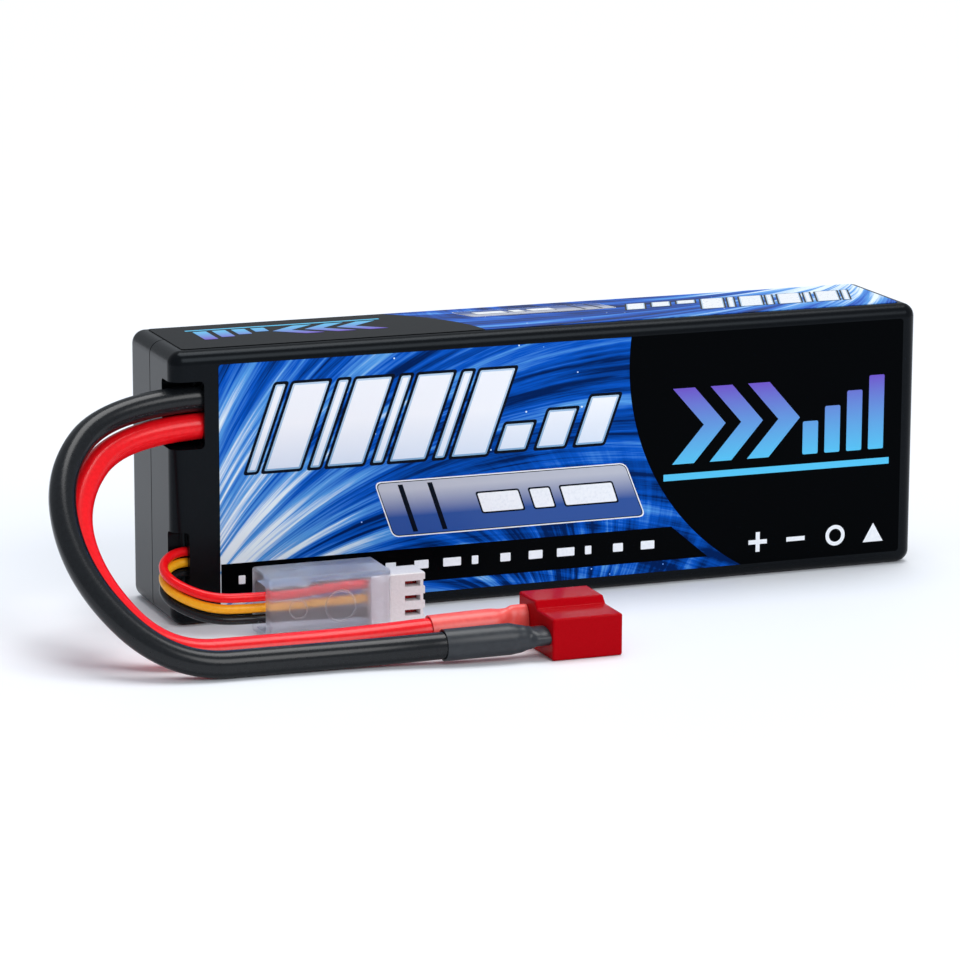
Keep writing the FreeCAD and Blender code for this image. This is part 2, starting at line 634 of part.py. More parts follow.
# --- T plug -------------------------------------------------------------------------------
def plug_profile():
    """The T plug's end outline: a tall side nearer the case, a step, and a low side."""
    near = T_PLUG_FAR - T_PLUG_WIDTH
    step = T_PLUG_FAR - T_PLUG_TALL_WIDTH
    corners = [(T_PLUG_FAR, 0), (T_PLUG_FAR, T_PLUG_TALL), (step, T_PLUG_TALL),
               (step - T_PLUG_STEP_WIDTH, T_PLUG_LOW), (near, T_PLUG_LOW), (near, 0)]
    points = [V(T_PLUG_REAR, y, z) for y, z in corners]
    return Part.Face(Part.makePolygon(points + points[:1]))


def contact_frame(sign):
    """A contact's middle, and whether its blade stands upright, for the positive (1) or negative."""
    if sign > 0:
        return POSITIVE_PLUG_Y, POSITIVE_PLUG_Z, True
    return NEGATIVE_PLUG_Y, NEGATIVE_PLUG_Z, False


def bar(x0, x1, y, z, upright, wide, thick, shift=0.0):
    """A flat bar along X: wide along Z when upright, else along Y; shift moves it by its face."""
    if upright:
        return centred(x0, x1, y + shift, thick, z, wide)
    return centred(x0, x1, y, wide, z + shift, thick)


def plug_housing():
    """The moulded T plug body, with one upright and one level contact slot."""
    body = plug_profile().extrude(V(T_PLUG_LENGTH, 0, 0))
    body = body.makeFillet(T_PLUG_EDGE, body.Edges)
    for sign in (1, -1):
        y, z, upright = contact_frame(sign)
        slot = bar(T_PLUG_REAR + CONTACT_BACK_WALL, T_PLUG_FACE + PAST, y, z, upright,
                   CONTACT_SLOT_HEIGHT, CONTACT_SLOT_WIDTH)
        tail = bar(T_PLUG_REAR - PAST, T_PLUG_REAR + CONTACT_BACK_WALL + PAST, y, z, upright,
                   TAIL_WIDTH, CONTACT_THICKNESS)
        body = body.cut([slot, tail])
    return body


def contact_tail(sign):
    """The narrow tail that a main lead is soldered to, out through the plug's back wall."""
    y, z, upright = contact_frame(sign)
    lead_end = (RED_ROUTE if sign > 0 else BLACK_ROUTE)[-1][0]
    return bar(lead_end + CORE_GAP, T_PLUG_REAR + CONTACT_BACK_WALL + CORE_GAP, y, z, upright,
               TAIL_WIDTH, CONTACT_THICKNESS)


def plug_contact(sign):
    """A flat contact: a blade in its slot and the tail for the lead's strands."""
    y, z, upright = contact_frame(sign)
    blade = bar(T_PLUG_REAR + CONTACT_BACK_WALL, T_PLUG_FACE - CONTACT_RECESS, y, z, upright,
                CONTACT_WIDTH, CONTACT_THICKNESS)
    return joined([blade, contact_tail(sign)])


def plug_solder():
    """The solder round each tail, inside its sleeve."""
    lumps = []
    for sign in (1, -1):
        y, z, upright = contact_frame(sign)
        lead_end = (RED_ROUTE if sign > 0 else BLACK_ROUTE)[-1][0]
        lump = rod(lead_end + CORE_GAP, T_PLUG_REAR - CORE_GAP, y, z, PLUG_SOLDER_DIAMETER)
        lumps.append(lump.cut(contact_tail(sign)))
    return Part.makeCompound(lumps)


def plug_spring(sign):
    """The bowed leaf that presses a mating blade against the contact."""
    y, z, upright = contact_frame(sign)
    x0 = T_PLUG_REAR + CONTACT_BACK_WALL + SPRING_END_GAP
    x1 = T_PLUG_FACE - CONTACT_RECESS - SPRING_END_GAP
    low = CONTACT_THICKNESS / 2
    bow = CONTACT_SLOT_WIDTH / 2 - low - SPRING_THICKNESS - SPRING_SLOT_GAP
    middle = (x0 + x1) / 2
    under = Part.Arc(V(x0, low, 0), V(middle, low + bow, 0), V(x1, low, 0)).toShape()
    over = Part.Arc(V(x0, low + SPRING_THICKNESS, 0),
                    V(middle, low + bow + SPRING_THICKNESS, 0),
                    V(x1, low + SPRING_THICKNESS, 0)).toShape()
    ends = [Part.makeLine(V(x, low, 0), V(x, low + SPRING_THICKNESS, 0)) for x in (x0, x1)]
    outline = Part.Wire(Part.__sortEdges__([under, ends[1], over, ends[0]]))
    leaf = Part.Face(outline).extrude(V(0, 0, SPRING_WIDTH))
    leaf.translate(V(0, 0, -SPRING_WIDTH / 2))
    if not upright:
        leaf.rotate(V(0, 0, 0), ALONG_X, 90)
    leaf.translate(V(0, y, z))
    return leaf


# --- Balance plug and guard ---------------------------------------------------------------
def balance_plug_housing():
    """The three-way plug body: terminal channels, latch windows and a notched mating end."""
    body = centred(BALANCE_PLUG_REAR, BALANCE_PLUG_FACE, BALANCE_PLUG_Y, BALANCE_PLUG_DEPTH,
                   BALANCE_PLUG_Z, BALANCE_PLUG_HEIGHT)
    body = body.makeFillet(BALANCE_PLUG_EDGE, body.Edges)
    front = BALANCE_PLUG_Y - BALANCE_PLUG_DEPTH / 2
    window_x = BALANCE_PLUG_FACE - WINDOW_TO_FACE
    channel = TERMINAL_SIZE + 2 * TERMINAL_CLEARANCE
    cuts = []
    for z in TERMINAL_Z:
        cuts.append(centred(BALANCE_PLUG_REAR + BALANCE_BACK_WALL, BALANCE_PLUG_FACE + PAST, BALANCE_PLUG_Y,
                            channel, z, channel))
        cuts.append(rod(BALANCE_PLUG_REAR - PAST, BALANCE_PLUG_REAR + BALANCE_BACK_WALL + PAST,
                        BALANCE_PLUG_Y, z, BALANCE_DIAMETER + 2 * TERMINAL_CLEARANCE))
        cuts.append(box(window_x - WINDOW_LENGTH / 2, window_x + WINDOW_LENGTH / 2, front - PAST,
                        BALANCE_PLUG_Y, z - WINDOW_HEIGHT / 2, z + WINDOW_HEIGHT / 2))
        cuts.append(box(BALANCE_PLUG_FACE - NOTCH_DEPTH, BALANCE_PLUG_FACE + PAST, front - PAST,
                        front + NOTCH_REACH, z - NOTCH_HEIGHT / 2, z + NOTCH_HEIGHT / 2))
    return body.cut(cuts)


def balance_terminals():
    """A box terminal with a crimp barrel in each channel of the balance plug."""
    start = BALANCE_PLUG_RUN[-1] + CORE_GAP
    box_end = BALANCE_PLUG_FACE - TERMINAL_RECESS
    parts = []
    for z in TERMINAL_Z:
        square = centred(box_end - TERMINAL_LENGTH, box_end, BALANCE_PLUG_Y, TERMINAL_SIZE,
                         z, TERMINAL_SIZE)
        hole = centred(box_end - TERMINAL_LENGTH + TERMINAL_WALL, box_end + PAST, BALANCE_PLUG_Y, PIN_HOLE,
                       z, PIN_HOLE)
        barrel = rod(start, box_end - TERMINAL_LENGTH + TERMINAL_WALL / 2, BALANCE_PLUG_Y, z,
                     BALANCE_DIAMETER - 2 * BARREL_INSET)
        parts.append(joined([square, barrel]).cut(hole))
    return Part.makeCompound(parts)


def balance_guard():
    """The clear guard that slides over the leads and grips the rear of the balance plug."""
    body = centred(GUARD_START, GUARD_END, BALANCE_PLUG_Y, GUARD_DEPTH,
                   GUARD_HEIGHT / 2, GUARD_HEIGHT)
    body = body.makeFillet(GUARD_EDGE, body.Edges)
    grip_x = BALANCE_PLUG_REAR - GUARD_CLEARANCE
    bay_x = GUARD_START + GUARD_END_WALL + GUARD_LEAD_BAY_LENGTH
    mouth = centred(grip_x - PAST, GUARD_END + PAST, BALANCE_PLUG_Y, GUARD_MOUTH_DEPTH,
                    BALANCE_PLUG_Z, GUARD_MOUTH_HEIGHT)
    wide = centred(bay_x, grip_x, BALANCE_PLUG_Y, GUARD_DEPTH - 2 * GUARD_SIDE_WALL,
                   BALANCE_PLUG_Z, GUARD_MOUTH_HEIGHT)
    leads = centred(GUARD_START - PAST, bay_x + PAST, BALANCE_PLUG_Y, GUARD_LEAD_BAY_DEPTH,
                    BALANCE_PLUG_Z, GUARD_LEAD_BAY_HEIGHT)
    leads = leads.makeFillet(GUARD_BAY_CORNER, edges_along(leads, ALONG_X))
    return body.cut([mouth, wide, leads])


# --- All pieces ---------------------------------------------------------------------------
def pieces():
    """Every piece by its node name."""
    found = {
        "front_shell": front_shell(),
        "back_shell": back_shell(),
        "front_label": side_label(-1),
        "back_label": side_label(1),
        "top_label": top_label(),
        "cell_front_pouch": pouch(-1),
        "cell_back_pouch": pouch(1),
        "cell_front_negative_tab": cell_tab(-1, UPPER_TAB_Z, LEAD_Y - TAB_PAST_LEAD),
        "cell_front_positive_tab": cell_tab(-1, LOWER_TAB_Z, -TAB_GAP / 2),
        "cell_back_positive_tab": cell_tab(1, UPPER_TAB_Z, TAB_GAP / 2),
        "cell_back_negative_tab": cell_tab(1, LOWER_TAB_Z, TAB_GAP / 2),
        "cell_bond_tape": bond_tape(),
        "cell_strap_tape": strap_tape(),
        "front_foam_pad": side_pad(-1),
        "back_foam_pad": side_pad(1),
        "end_foam_pad": end_pad(),
        "tab_board": tab_board(),
        "board_traces": board_traces(),
        "positive_bus": positive_bus(),
        "series_link": series_link(),
        "lead_core_ends": lead_core_ends(),
        "solder_joints": solder_joints(),
        "insulating_card": insulating_card(),
        "main_lead_red": lead("main_lead_red", RED_ROUTE, LEAD_DIAMETER),
        "main_lead_black": lead("main_lead_black", BLACK_ROUTE, LEAD_DIAMETER),
        "sleeve_red": sleeve(RED_ROUTE),
        "sleeve_black": sleeve(BLACK_ROUTE),
        "plug_housing": plug_housing(),
        "plug_contact_positive": plug_contact(1),
        "plug_contact_negative": plug_contact(-1),
        "plug_solder": plug_solder(),
        "plug_spring_positive": plug_spring(1),
        "plug_spring_negative": plug_spring(-1),
        "balance_plug_housing": balance_plug_housing(),
        "balance_terminals": balance_terminals(),
        "balance_guard": balance_guard(),
    }
    for row, colour in enumerate(("red", "yellow", "black")):
        name = "balance_lead_" + colour
        found[name] = lead(name, balance_route(row), BALANCE_DIAMETER)
    return found


def write_all():
    """Write each piece to parts/ as a STEP file named after its node."""
    os.makedirs("parts", exist_ok=True)
    for name, shape in pieces().items():
        if not shape.isValid() or not shape.Solids:
            raise ValueError(name + " is not a valid solid")
        shape.exportStep("parts/" + name + ".step")
        print("%-26s solids %d volume %.1f" % (name, len(shape.Solids), shape.Volume))


write_all()
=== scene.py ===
# %% [markdown]
# # A hard-case battery pack
# The pack stands on its long narrow face. Its case, plugs and guard are exact CAD parts, and they
# are loaded first as a frame that never moves. This lesson adds the camera, the leads, the printed
# marks and every finish. All lengths here are metres, so MM turns millimetres into them.

# %% Load the frame
import math
import bpy
import bmesh
from mathutils import Matrix, Vector


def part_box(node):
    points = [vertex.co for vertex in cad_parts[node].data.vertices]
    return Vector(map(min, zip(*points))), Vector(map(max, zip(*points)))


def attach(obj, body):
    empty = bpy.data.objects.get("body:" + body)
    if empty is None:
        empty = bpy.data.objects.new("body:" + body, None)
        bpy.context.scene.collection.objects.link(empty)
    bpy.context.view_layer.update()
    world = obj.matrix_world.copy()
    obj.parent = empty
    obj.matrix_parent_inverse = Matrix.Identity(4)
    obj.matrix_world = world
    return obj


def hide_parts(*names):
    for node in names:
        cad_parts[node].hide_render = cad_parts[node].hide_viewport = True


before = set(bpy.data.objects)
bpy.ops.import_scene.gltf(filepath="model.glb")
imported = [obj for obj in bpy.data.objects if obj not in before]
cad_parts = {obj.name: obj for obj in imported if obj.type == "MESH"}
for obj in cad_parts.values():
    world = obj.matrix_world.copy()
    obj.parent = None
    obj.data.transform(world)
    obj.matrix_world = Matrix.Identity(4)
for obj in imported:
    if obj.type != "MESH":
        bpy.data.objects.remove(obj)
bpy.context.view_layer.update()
MM = 0.001

# %% [markdown]
# A printed label has full whites and deep blacks. The Standard view keeps them as they are, and
# the default one would soften both.

# %% Show colours as they are
bpy.context.scene.view_settings.view_transform = "Standard"
print("view", bpy.context.scene.view_settings.view_transform)

# %% [markdown]
# ## The camera
# A product picture of a small object is taken from well back with a long lens, so that its edges
# stay nearly parallel. The camera is placed by its yaw, its pitch and a very small roll. Its own
# axes are worked out from those angles and written in its matrix.

# %% Place the camera
CAMERA_PLACE = Vector((-273.608, -693.964, 183.045)) * MM
CAMERA_YAW = math.radians(20.849)
CAMERA_PITCH = math.radians(12.486)
CAMERA_ROLL = math.radians(0.184)
CAMERA_LENS = 161.891


def camera_axes():
    """The camera's right, up and backward directions."""
    level = math.cos(CAMERA_PITCH)
    ahead = Vector((math.sin(CAMERA_YAW) * level, math.cos(CAMERA_YAW) * level, -math.sin(CAMERA_PITCH)))
    right = Vector((math.cos(CAMERA_YAW), -math.sin(CAMERA_YAW), 0))
    up = right.cross(ahead)
    tilted_right = right * math.cos(CAMERA_ROLL) + up * math.sin(CAMERA_ROLL)
    tilted_up = up * math.cos(CAMERA_ROLL) - right * math.sin(CAMERA_ROLL)
    return tilted_right, tilted_up, -ahead


camera_data = bpy.data.cameras.new("camera")
camera_data.lens = CAMERA_LENS
camera_data.sensor_width = 36
camera = bpy.data.objects.new("camera", camera_data)
bpy.context.scene.collection.objects.link(camera)
camera.matrix_world = Matrix.Translation(CAMERA_PLACE) @ Matrix(camera_axes()).transposed().to_4x4()
bpy.context.scene.camera = camera
print("camera distance to the case", round((CAMERA_PLACE - Vector((0, 0, 0.024))).length, 3), "m")

# %% [markdown]
# ## The leads
# A silicone lead is a soft tube with hundreds of fine strands in it, so it bends in wide even
# curves and never in corners. It could be swept as a mesh, but a smooth spline through a few
# chosen points is easier to read and to change. Each lead leaves a pocket in the case, turns back
# on itself in one loop, and lies on the ground up to its plug.

# %% Routes of the main leads
LEAD_DIAMETER = 4.6
LEAD_FLOOR = LEAD_DIAMETER / 2
LEAD_Y = -9.4
BLACK_ROUTE = [
    (-61.2, LEAD_Y, 38.9), (-79.2, LEAD_Y, 38.9), (-91.8, -19.0, 29.5), (-91.8, -33.4, 15.0),
    (-80.0, -46.0, LEAD_FLOOR), (-60.5, -46.7, LEAD_FLOOR), (-45.0, -47.9, LEAD_FLOOR + 0.15),
    (-28.5, -51.6, 3.6), (-19.0, -51.6, 3.6),
]
RED_ROUTE = [
    (-61.2, LEAD_Y, 34.1), (-77.5, LEAD_Y, 34.1), (-88.4, -17.9, 25.0), (-88.4, -28.0, 13.9),
    (-79.0, -38.4, LEAD_FLOOR), (-61.5, -38.9, LEAD_FLOOR), (-46.5, -40.0, LEAD_FLOOR + 0.2),
    (-28.5, -42.9, 4.0), (-19.0, -42.9, 4.0),
]
print("main leads have", len(BLACK_ROUTE), "and", len(RED_ROUTE), "points")

# %% Routes of the balance leads
BALANCE_DIAMETER = 1.6
BALANCE_PITCH_AT_CASE = 1.9
BALANCE_PLUG_Z = (7.8, 5.3, 2.8)
BALANCE_ROUTE = [
    (-60.8, -10.0, 12.7), (-64.5, -10.4, 12.7), (-68.7, -10.4, 12.7), (-71.9, -13.4, 11.5),
    (-71.9, -17.2, 9.9), (-69.0, -20.8, 8.3), (-65.2, -23.0, 7.3), (-60.2, -23.6, 7.1),
    (-51.5, -23.45, 7.1),
]


def balance_route(row):
    """The points of one balance lead. Row 0 is the top one."""
    drop = BALANCE_PITCH_AT_CASE * row
    points = [(x, y, z - drop) for x, y, z in BALANCE_ROUTE]
    return points + [(x, -23.5, BALANCE_PLUG_Z[row]) for x in (-43.6, -37.4)]


print("balance leads have", len(balance_route(0)), "points each")

# %% [markdown]
# A NURBS spline takes its order only after its points are there. Order 3 with its ends pinned
# gives a curve that touches every run of the route, and a round bevel makes it a tube. The tube's
# radius is kept on the points, with a bevel depth of 1, because Blender adds each point's radius
# to the curve's box: a radius of 1 would make the box a metre too large on every side. Under its
# sleeve a main lead narrows to its bare strands, where the insulation has been taken off.

# %% Make the leads
def lead_curve(name, route, diameter, last_diameter=None):
    """A smooth round lead along a route given in millimetres. Its last point may be thinner."""
    data = bpy.data.curves.new(name, "CURVE")
    data.dimensions = "3D"
    line = data.splines.new("NURBS")
    line.points.add(len(route) - 1)
    for point, place in zip(line.points, route):
        point.co = (*(Vector(place) * MM), 1)
        point.radius = diameter / 2 * MM
    if last_diameter:
        line.points[-1].radius = last_diameter / 2 * MM
    line.order_u = 3
    line.use_endpoint_u = True
    line.resolution_u = 16
    data.bevel_depth = 1
    data.bevel_resolution = 7
    data.use_fill_caps = True
    piece = bpy.data.objects.new(name, data)
    bpy.context.scene.collection.objects.link(piece)
    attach(piece, "pack")
    return piece


STRIPPED_DIAMETER = 1.2
black_lead = lead_curve("lead_black", BLACK_ROUTE, LEAD_DIAMETER, STRIPPED_DIAMETER)
red_lead = lead_curve("lead_red", RED_ROUTE, LEAD_DIAMETER, STRIPPED_DIAMETER)
balance_leads = []
for row, colour in enumerate(("red", "yellow", "black")):
    balance_leads.append(lead_curve("thin_lead_" + colour, balance_route(row), BALANCE_DIAMETER))
print("leads made:", 2 + len(balance_leads))

# %% [markdown]
# ## Reading a lead's own line
# A sleeve follows its lead. Its line is read from the same spline, drawn once more without a
# bevel, so that the sleeve can never drift away from the lead inside it.

# %% Read a line
def line_points(route):
    """The places along a route's smooth line, in metres."""
    bare = lead_curve("bare_line", route, 0)
    bare.data.bevel_depth = 0
    mesh = bpy.data.meshes.new_from_object(bare.evaluated_get(bpy.context.evaluated_depsgraph_get()))
    points = [v.co.copy() for v in mesh.vertices]
    curve = bare.data
    bpy.data.objects.remove(bare)
    bpy.data.curves.remove(curve)
    bpy.data.meshes.remove(mesh)
    return points


black_line = line_points(BLACK_ROUTE)
red_line = line_points(RED_ROUTE)
print("black line", len(black_line), "points, first", [round(v / MM, 1) for v in black_line[0]])

# %% [markdown]
# ## Modelling with operators
# An operator acts on whatever is selected, so every step first deselects all and then selects
# what it means. Place, turn and size are put in the mesh, which leaves each piece at the origin.

# %% Helpers for modelling by operator
def start_piece(name):
    """Give the active piece and its mesh their name."""
    piece = bpy.context.object
    piece.name = name
    piece.data.name = name
    return piece


def deselect_all():
    """Leave nothing selected, so that an operator acts only on what comes next."""
    bpy.ops.object.select_all(action="DESELECT")


def use_only(piece):
    """Select one piece and make it active."""
    deselect_all()
    piece.select_set(True)
    bpy.context.view_layer.objects.active = piece


def settle(piece):
    """Put a piece's place, turn and size in its mesh, so that its object sits at the origin."""
    use_only(piece)
    bpy.ops.object.transform_apply(location=True, rotation=True, scale=True)
    return piece


def select_edges(piece, wanted):
    """Go into edit mode with only the edges selected whose two ends are wanted."""
    use_only(piece)
    bpy.ops.object.mode_set(mode="EDIT")
    bpy.context.tool_settings.mesh_select_mode = (False, True, False)
    bpy.ops.mesh.select_all(action="DESELECT")
    mesh = bmesh.from_edit_mesh(piece.data)
    for edge in mesh.edges:
        edge.select = wanted(edge.verts[0].co, edge.verts[1].co)
    bmesh.update_edit_mesh(piece.data)


deselect_all()
print("selected at the start", len(bpy.context.selected_objects))

# %% [markdown]
# ## The heat-shrunk sleeves
# A sleeve is a thin tube that is slid over the soldered end and shrunk with hot air. It grips the
# lead, and past the end of the insulation it slopes down in one long shoulder to the flat tail of
# the contact, and creases on its way. A plain tube would look moulded, so a cylinder is cut in
# many rings, and each ring is set on the lead's line with its own thickness, width and folds.

# %% Make the sleeves
BLACK_SLEEVE_START = -34.8 * MM
RED_SLEEVE_START = -34.3 * MM
SLEEVE_END = -17.35 * MM
SLEEVE_RADIUS = 2.66 * MM
SLEEVE_WALL = 0.28 * MM
TAIL_THIN = 1.55 * MM
NECK_WIDE = 2.35 * MM
TAIL_WIDE = 2.95 * MM
SLEEVE_RINGS = 72
SHOULDER_START = -24.0 * MM
SHOULDER_END = -18.8 * MM
FLARE_START = -21.6 * MM
FLARE_END = -19.2 * MM
FOLD_DEPTH = 0.34 * MM
RIPPLE_DEPTH = 0.10 * MM


def place_on_line(line, x):
    """The point of a line at one X."""
    for a, b in zip(line, line[1:]):
        if a.x <= x <= b.x:
            return a.lerp(b, (x - a.x) / max(b.x - a.x, 1e-9))
    return Vector((x, line[-1].y, line[-1].z))


def smooth_step(low, high, value):
    """0 below low, 1 above high, and an even rise between them."""
    share = min(1.0, max(0.0, (value - low) / (high - low)))
    return share * share * (3 - 2 * share)


def sleeve_halves(x):
    """A sleeve's thin and wide half sizes at one X, and how deep its creases are there. It is
    round, then slopes down its shoulder, and flares over the flat tail of the contact."""
    drawn = smooth_step(SHOULDER_START, SHOULDER_END, x)
    flare = smooth_step(FLARE_START, FLARE_END, x)
    thin = SLEEVE_RADIUS + (TAIL_THIN - SLEEVE_RADIUS) * drawn
    wide = SLEEVE_RADIUS + (NECK_WIDE - SLEEVE_RADIUS) * drawn + (TAIL_WIDE - NECK_WIDE) * flare
    return thin, wide, drawn * (1 - 0.9 * flare)


def crease(x, angle, depth):
    """How far the film stands out at one place: three long twisting folds and small ripples."""
    fold = FOLD_DEPTH * math.sin(3 * angle + 0.8 * (x / MM))
    ripple = RIPPLE_DEPTH * math.sin(3.4 * (x / MM) + 1.3 * math.sin(2 * angle))
    return depth * (fold + ripple)


def make_sleeve(name, line, start, node, upright):
    """A sleeve set ring by ring on its lead's line, flared upright or level."""
    bpy.ops.mesh.primitive_cylinder_add(vertices=40, radius=SLEEVE_RADIUS, depth=1, end_fill_type="NOTHING")
    piece = start_piece(name)
    select_edges(piece, lambda a, b: abs(a.z - b.z) > 0.5)
    bpy.ops.mesh.subdivide(number_cuts=SLEEVE_RINGS - 1)
    bpy.ops.object.mode_set(mode="OBJECT")
    for vertex in piece.data.vertices:
        x = start + (SLEEVE_END - start) * (vertex.co.z + 0.5)
        angle = math.atan2(vertex.co.y, vertex.co.x)
        thin, wide, depth = sleeve_halves(x)
        out = crease(x, angle, depth)
        across, up = (thin + out, wide + out) if upright else (wide + out, thin + out)
        vertex.co = place_on_line(line, x) + Vector((0, across * math.cos(angle), up * math.sin(angle)))
    bpy.ops.object.mode_set(mode="EDIT")
    bpy.ops.mesh.select_all(action="SELECT")
    bpy.ops.mesh.normals_make_consistent(inside=False)
    bpy.ops.object.mode_set(mode="OBJECT")
    wall = piece.modifiers.new("wall", "SOLIDIFY")
    wall.thickness = SLEEVE_WALL
    wall.offset = -1
    bpy.ops.object.modifier_apply(modifier=wall.name)
    bpy.ops.object.shade_smooth_by_angle(angle=math.radians(50))
    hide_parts(node)
    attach(piece, "pack")
    print(name, "has", len(piece.data.polygons), "faces")
    return piece


black_sleeve = make_sleeve("shrunk_sleeve_black", black_line, BLACK_SLEEVE_START, "sleeve_black", False)
red_sleeve = make_sleeve("shrunk_sleeve_red", red_line, RED_SLEEVE_START, "sleeve_red", True)

# %% [markdown]
# Under each sleeve the strands are soldered to the tail of a contact. Solder draws itself into a
# smooth lump, so a short cylinder gets generously rounded ends. Both lumps are one piece.

# %% Make the solder in the plug
SOLDER_LENGTH = 1.6 * MM
SOLDER_RADIUS = 1.2 * MM
SOLDER_AHEAD = 0.85 * MM
SOLDER_ROUNDING = 0.6 * MM
solder_parts = []
for route in (BLACK_ROUTE, RED_ROUTE):
    x, y, z = [v * MM for v in route[-1]]
    bpy.ops.mesh.primitive_cylinder_add(vertices=32, radius=SOLDER_RADIUS, depth=SOLDER_LENGTH,
                                        location=(x + SOLDER_AHEAD, y, z), rotation=(0, math.pi / 2, 0))
    lump = settle(bpy.context.object)
    rounding = lump.modifiers.new("rounding", "BEVEL")
    rounding.width = SOLDER_ROUNDING
    rounding.segments = 5
    bpy.ops.object.modifier_apply(modifier=rounding.name)
    bpy.ops.object.shade_smooth_by_angle(angle=math.radians(40))
    solder_parts.append(lump)
deselect_all()
for lump in solder_parts:
    lump.select_set(True)
bpy.ops.object.join()
solder_lumps = start_piece("solder_lumps")
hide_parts("plug_solder")
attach(solder_lumps, "pack")
print("solder lumps", len(solder_lumps.data.polygons), "faces")

# %% [markdown]
# ## The CAD leads
# The curves take the place of the five leads of the CAD frame, so those
# CAD nodes are hidden.


def declare_main(node):
    """Hide a main lead's CAD node, which its curve replaces."""
    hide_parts(node)


declare_main("main_lead_black")
declare_main("main_lead_red")
for row, colour in enumerate(("red", "yellow", "black")):
    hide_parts("balance_lead_" + colour)

# %% [markdown]
# ## Finishes
# Each finish is a node material that works from Object coordinates, so a pattern keeps its real
# size on every piece. Small uneven changes in roughness and height are what make a surface look
# moulded, rubbery or shrunk instead of painted on.

# %% A base for all finishes
def finish_base(name, colour, roughness, **sockets):
    """A principled material, with any other shader socket set by its name."""
    material = bpy.data.materials.new(name)
    material.use_nodes = True
    shader = material.node_tree.nodes["Principled BSDF"]
    shader.inputs["Base Color"].default_value = (*colour, 1)
    shader.inputs["Roughness"].default_value = roughness
    for label, value in sockets.items():
        shader.inputs[label.replace("_", " ")].default_value = value
    return material


def new_node(material, kind, **values):
    """A node with its input sockets set by name."""
    node = material.node_tree.nodes.new(kind)
    for label, value in values.items():
        node.inputs[label.replace("_", " ")].default_value = value
    return node


def link(material, source, target):
    """Join an output socket to an input socket."""
    material.node_tree.links.new(source, target)


def add_grain(material, scale, depth, rough_low, rough_high):
    """Fine noise that lifts the surface by depth and varies its roughness."""
    place = new_node(material, "ShaderNodeTexCoord")
    noise = new_node(material, "ShaderNodeTexNoise", Scale=scale, Detail=4.0, Roughness=0.55)
    link(material, place.outputs["Object"], noise.inputs["Vector"])
    spread = new_node(material, "ShaderNodeMapRange", To_Min=rough_low, To_Max=rough_high)
    link(material, noise.outputs["Fac"], spread.inputs["Value"])
    shader = material.node_tree.nodes["Principled BSDF"]
    link(material, spread.outputs["Result"], shader.inputs["Roughness"])
    bump = new_node(material, "ShaderNodeBump", Strength=0.5, Distance=depth)
    link(material, noise.outputs["Fac"], bump.inputs["Height"])
    link(material, bump.outputs["Normal"], shader.inputs["Normal"])
    return noise


def vary_colour(material, noise, dark, light):
    """Move the colour a little between two close tones, with the same noise."""
    ramp = new_node(material, "ShaderNodeValToRGB")
    ramp.color_ramp.elements[0].color = (*dark, 1)
    ramp.color_ramp.elements[1].color = (*light, 1)
    ramp.color_ramp.elements[0].position = 0.3
    ramp.color_ramp.elements[1].position = 0.7
    link(material, noise.outputs["Fac"], ramp.inputs["Fac"])
    link(material, ramp.outputs["Color"], material.node_tree.nodes["Principled BSDF"].inputs["Base Color"])


def grained(name, dark, light, rough, scale, depth, **sockets):
    """A finish with fine grain between two tones and two roughnesses."""
    material = finish_base(name, light, rough[0], **sockets)
    noise = add_grain(material, scale, depth, rough[0], rough[1])
    vary_colour(material, noise, dark, light)
    return material


print("finish helpers ready")

# %% [markdown]
# Each call below gives a finish its dark and light tone, its lowest and highest roughness, how
# fine its grain is and how deep. A low specular level keeps blacks black over the pale floor.

# %% Plastics, rubbers and metals
case_plastic = grained("case_plastic", (0.0025, 0.0029, 0.0038), (0.0037, 0.0043, 0.0056),
                       (0.22, 0.27), 2600, 0.00001, Specular_IOR_Level=0.105,
                       Specular_Tint=(0.78, 0.90, 1.0, 1.0))
silicone_black = grained("silicone_black", (0.0060, 0.0068, 0.0085), (0.0090, 0.0105, 0.0125),
                         (0.20, 0.24), 1500, 0.000001, Specular_IOR_Level=0.28)
silicone_red = grained("silicone_red", (0.86, 0.0045, 0.009), (0.97, 0.0075, 0.014),
                       (0.20, 0.24), 1500, 0.000001, Specular_IOR_Level=0.28)
silicone_yellow = grained("silicone_yellow", (0.92, 0.40, 0.006), (1.0, 0.50, 0.012),
                          (0.28, 0.36), 1500, 0.00001, Specular_IOR_Level=0.35)
sleeve_red_film = grained("sleeve_red_film", (0.88, 0.085, 0.075), (0.97, 0.12, 0.10),
                          (0.28, 0.38), 900, 0.00002, Specular_IOR_Level=0.45)
sleeve_black_film = grained("sleeve_black_film", (0.020, 0.023, 0.028), (0.028, 0.032, 0.038),
                            (0.30, 0.42), 900, 0.00002, Specular_IOR_Level=0.35)
plug_red_nylon = grained("plug_red_nylon", (0.39, 0.0, 0.003), (0.43, 0.0005, 0.005),
                         (0.15, 0.18), 3200, 0.000003, Specular_IOR_Level=0.035)
plug_white_nylon = grained("plug_white_nylon", (0.72, 0.70, 0.71), (0.80, 0.78, 0.79),
                           (0.36, 0.48), 2200, 0.00001)
gold_plate = grained("gold_plate", (0.72, 0.48, 0.16), (0.86, 0.62, 0.26), (0.20, 0.34),
                     2400, 0.000005, Metallic=1.0)
nickel_strip = grained("nickel_strip", (0.55, 0.53, 0.50), (0.66, 0.64, 0.60), (0.28, 0.40),
                       1600, 0.000005, Metallic=1.0)
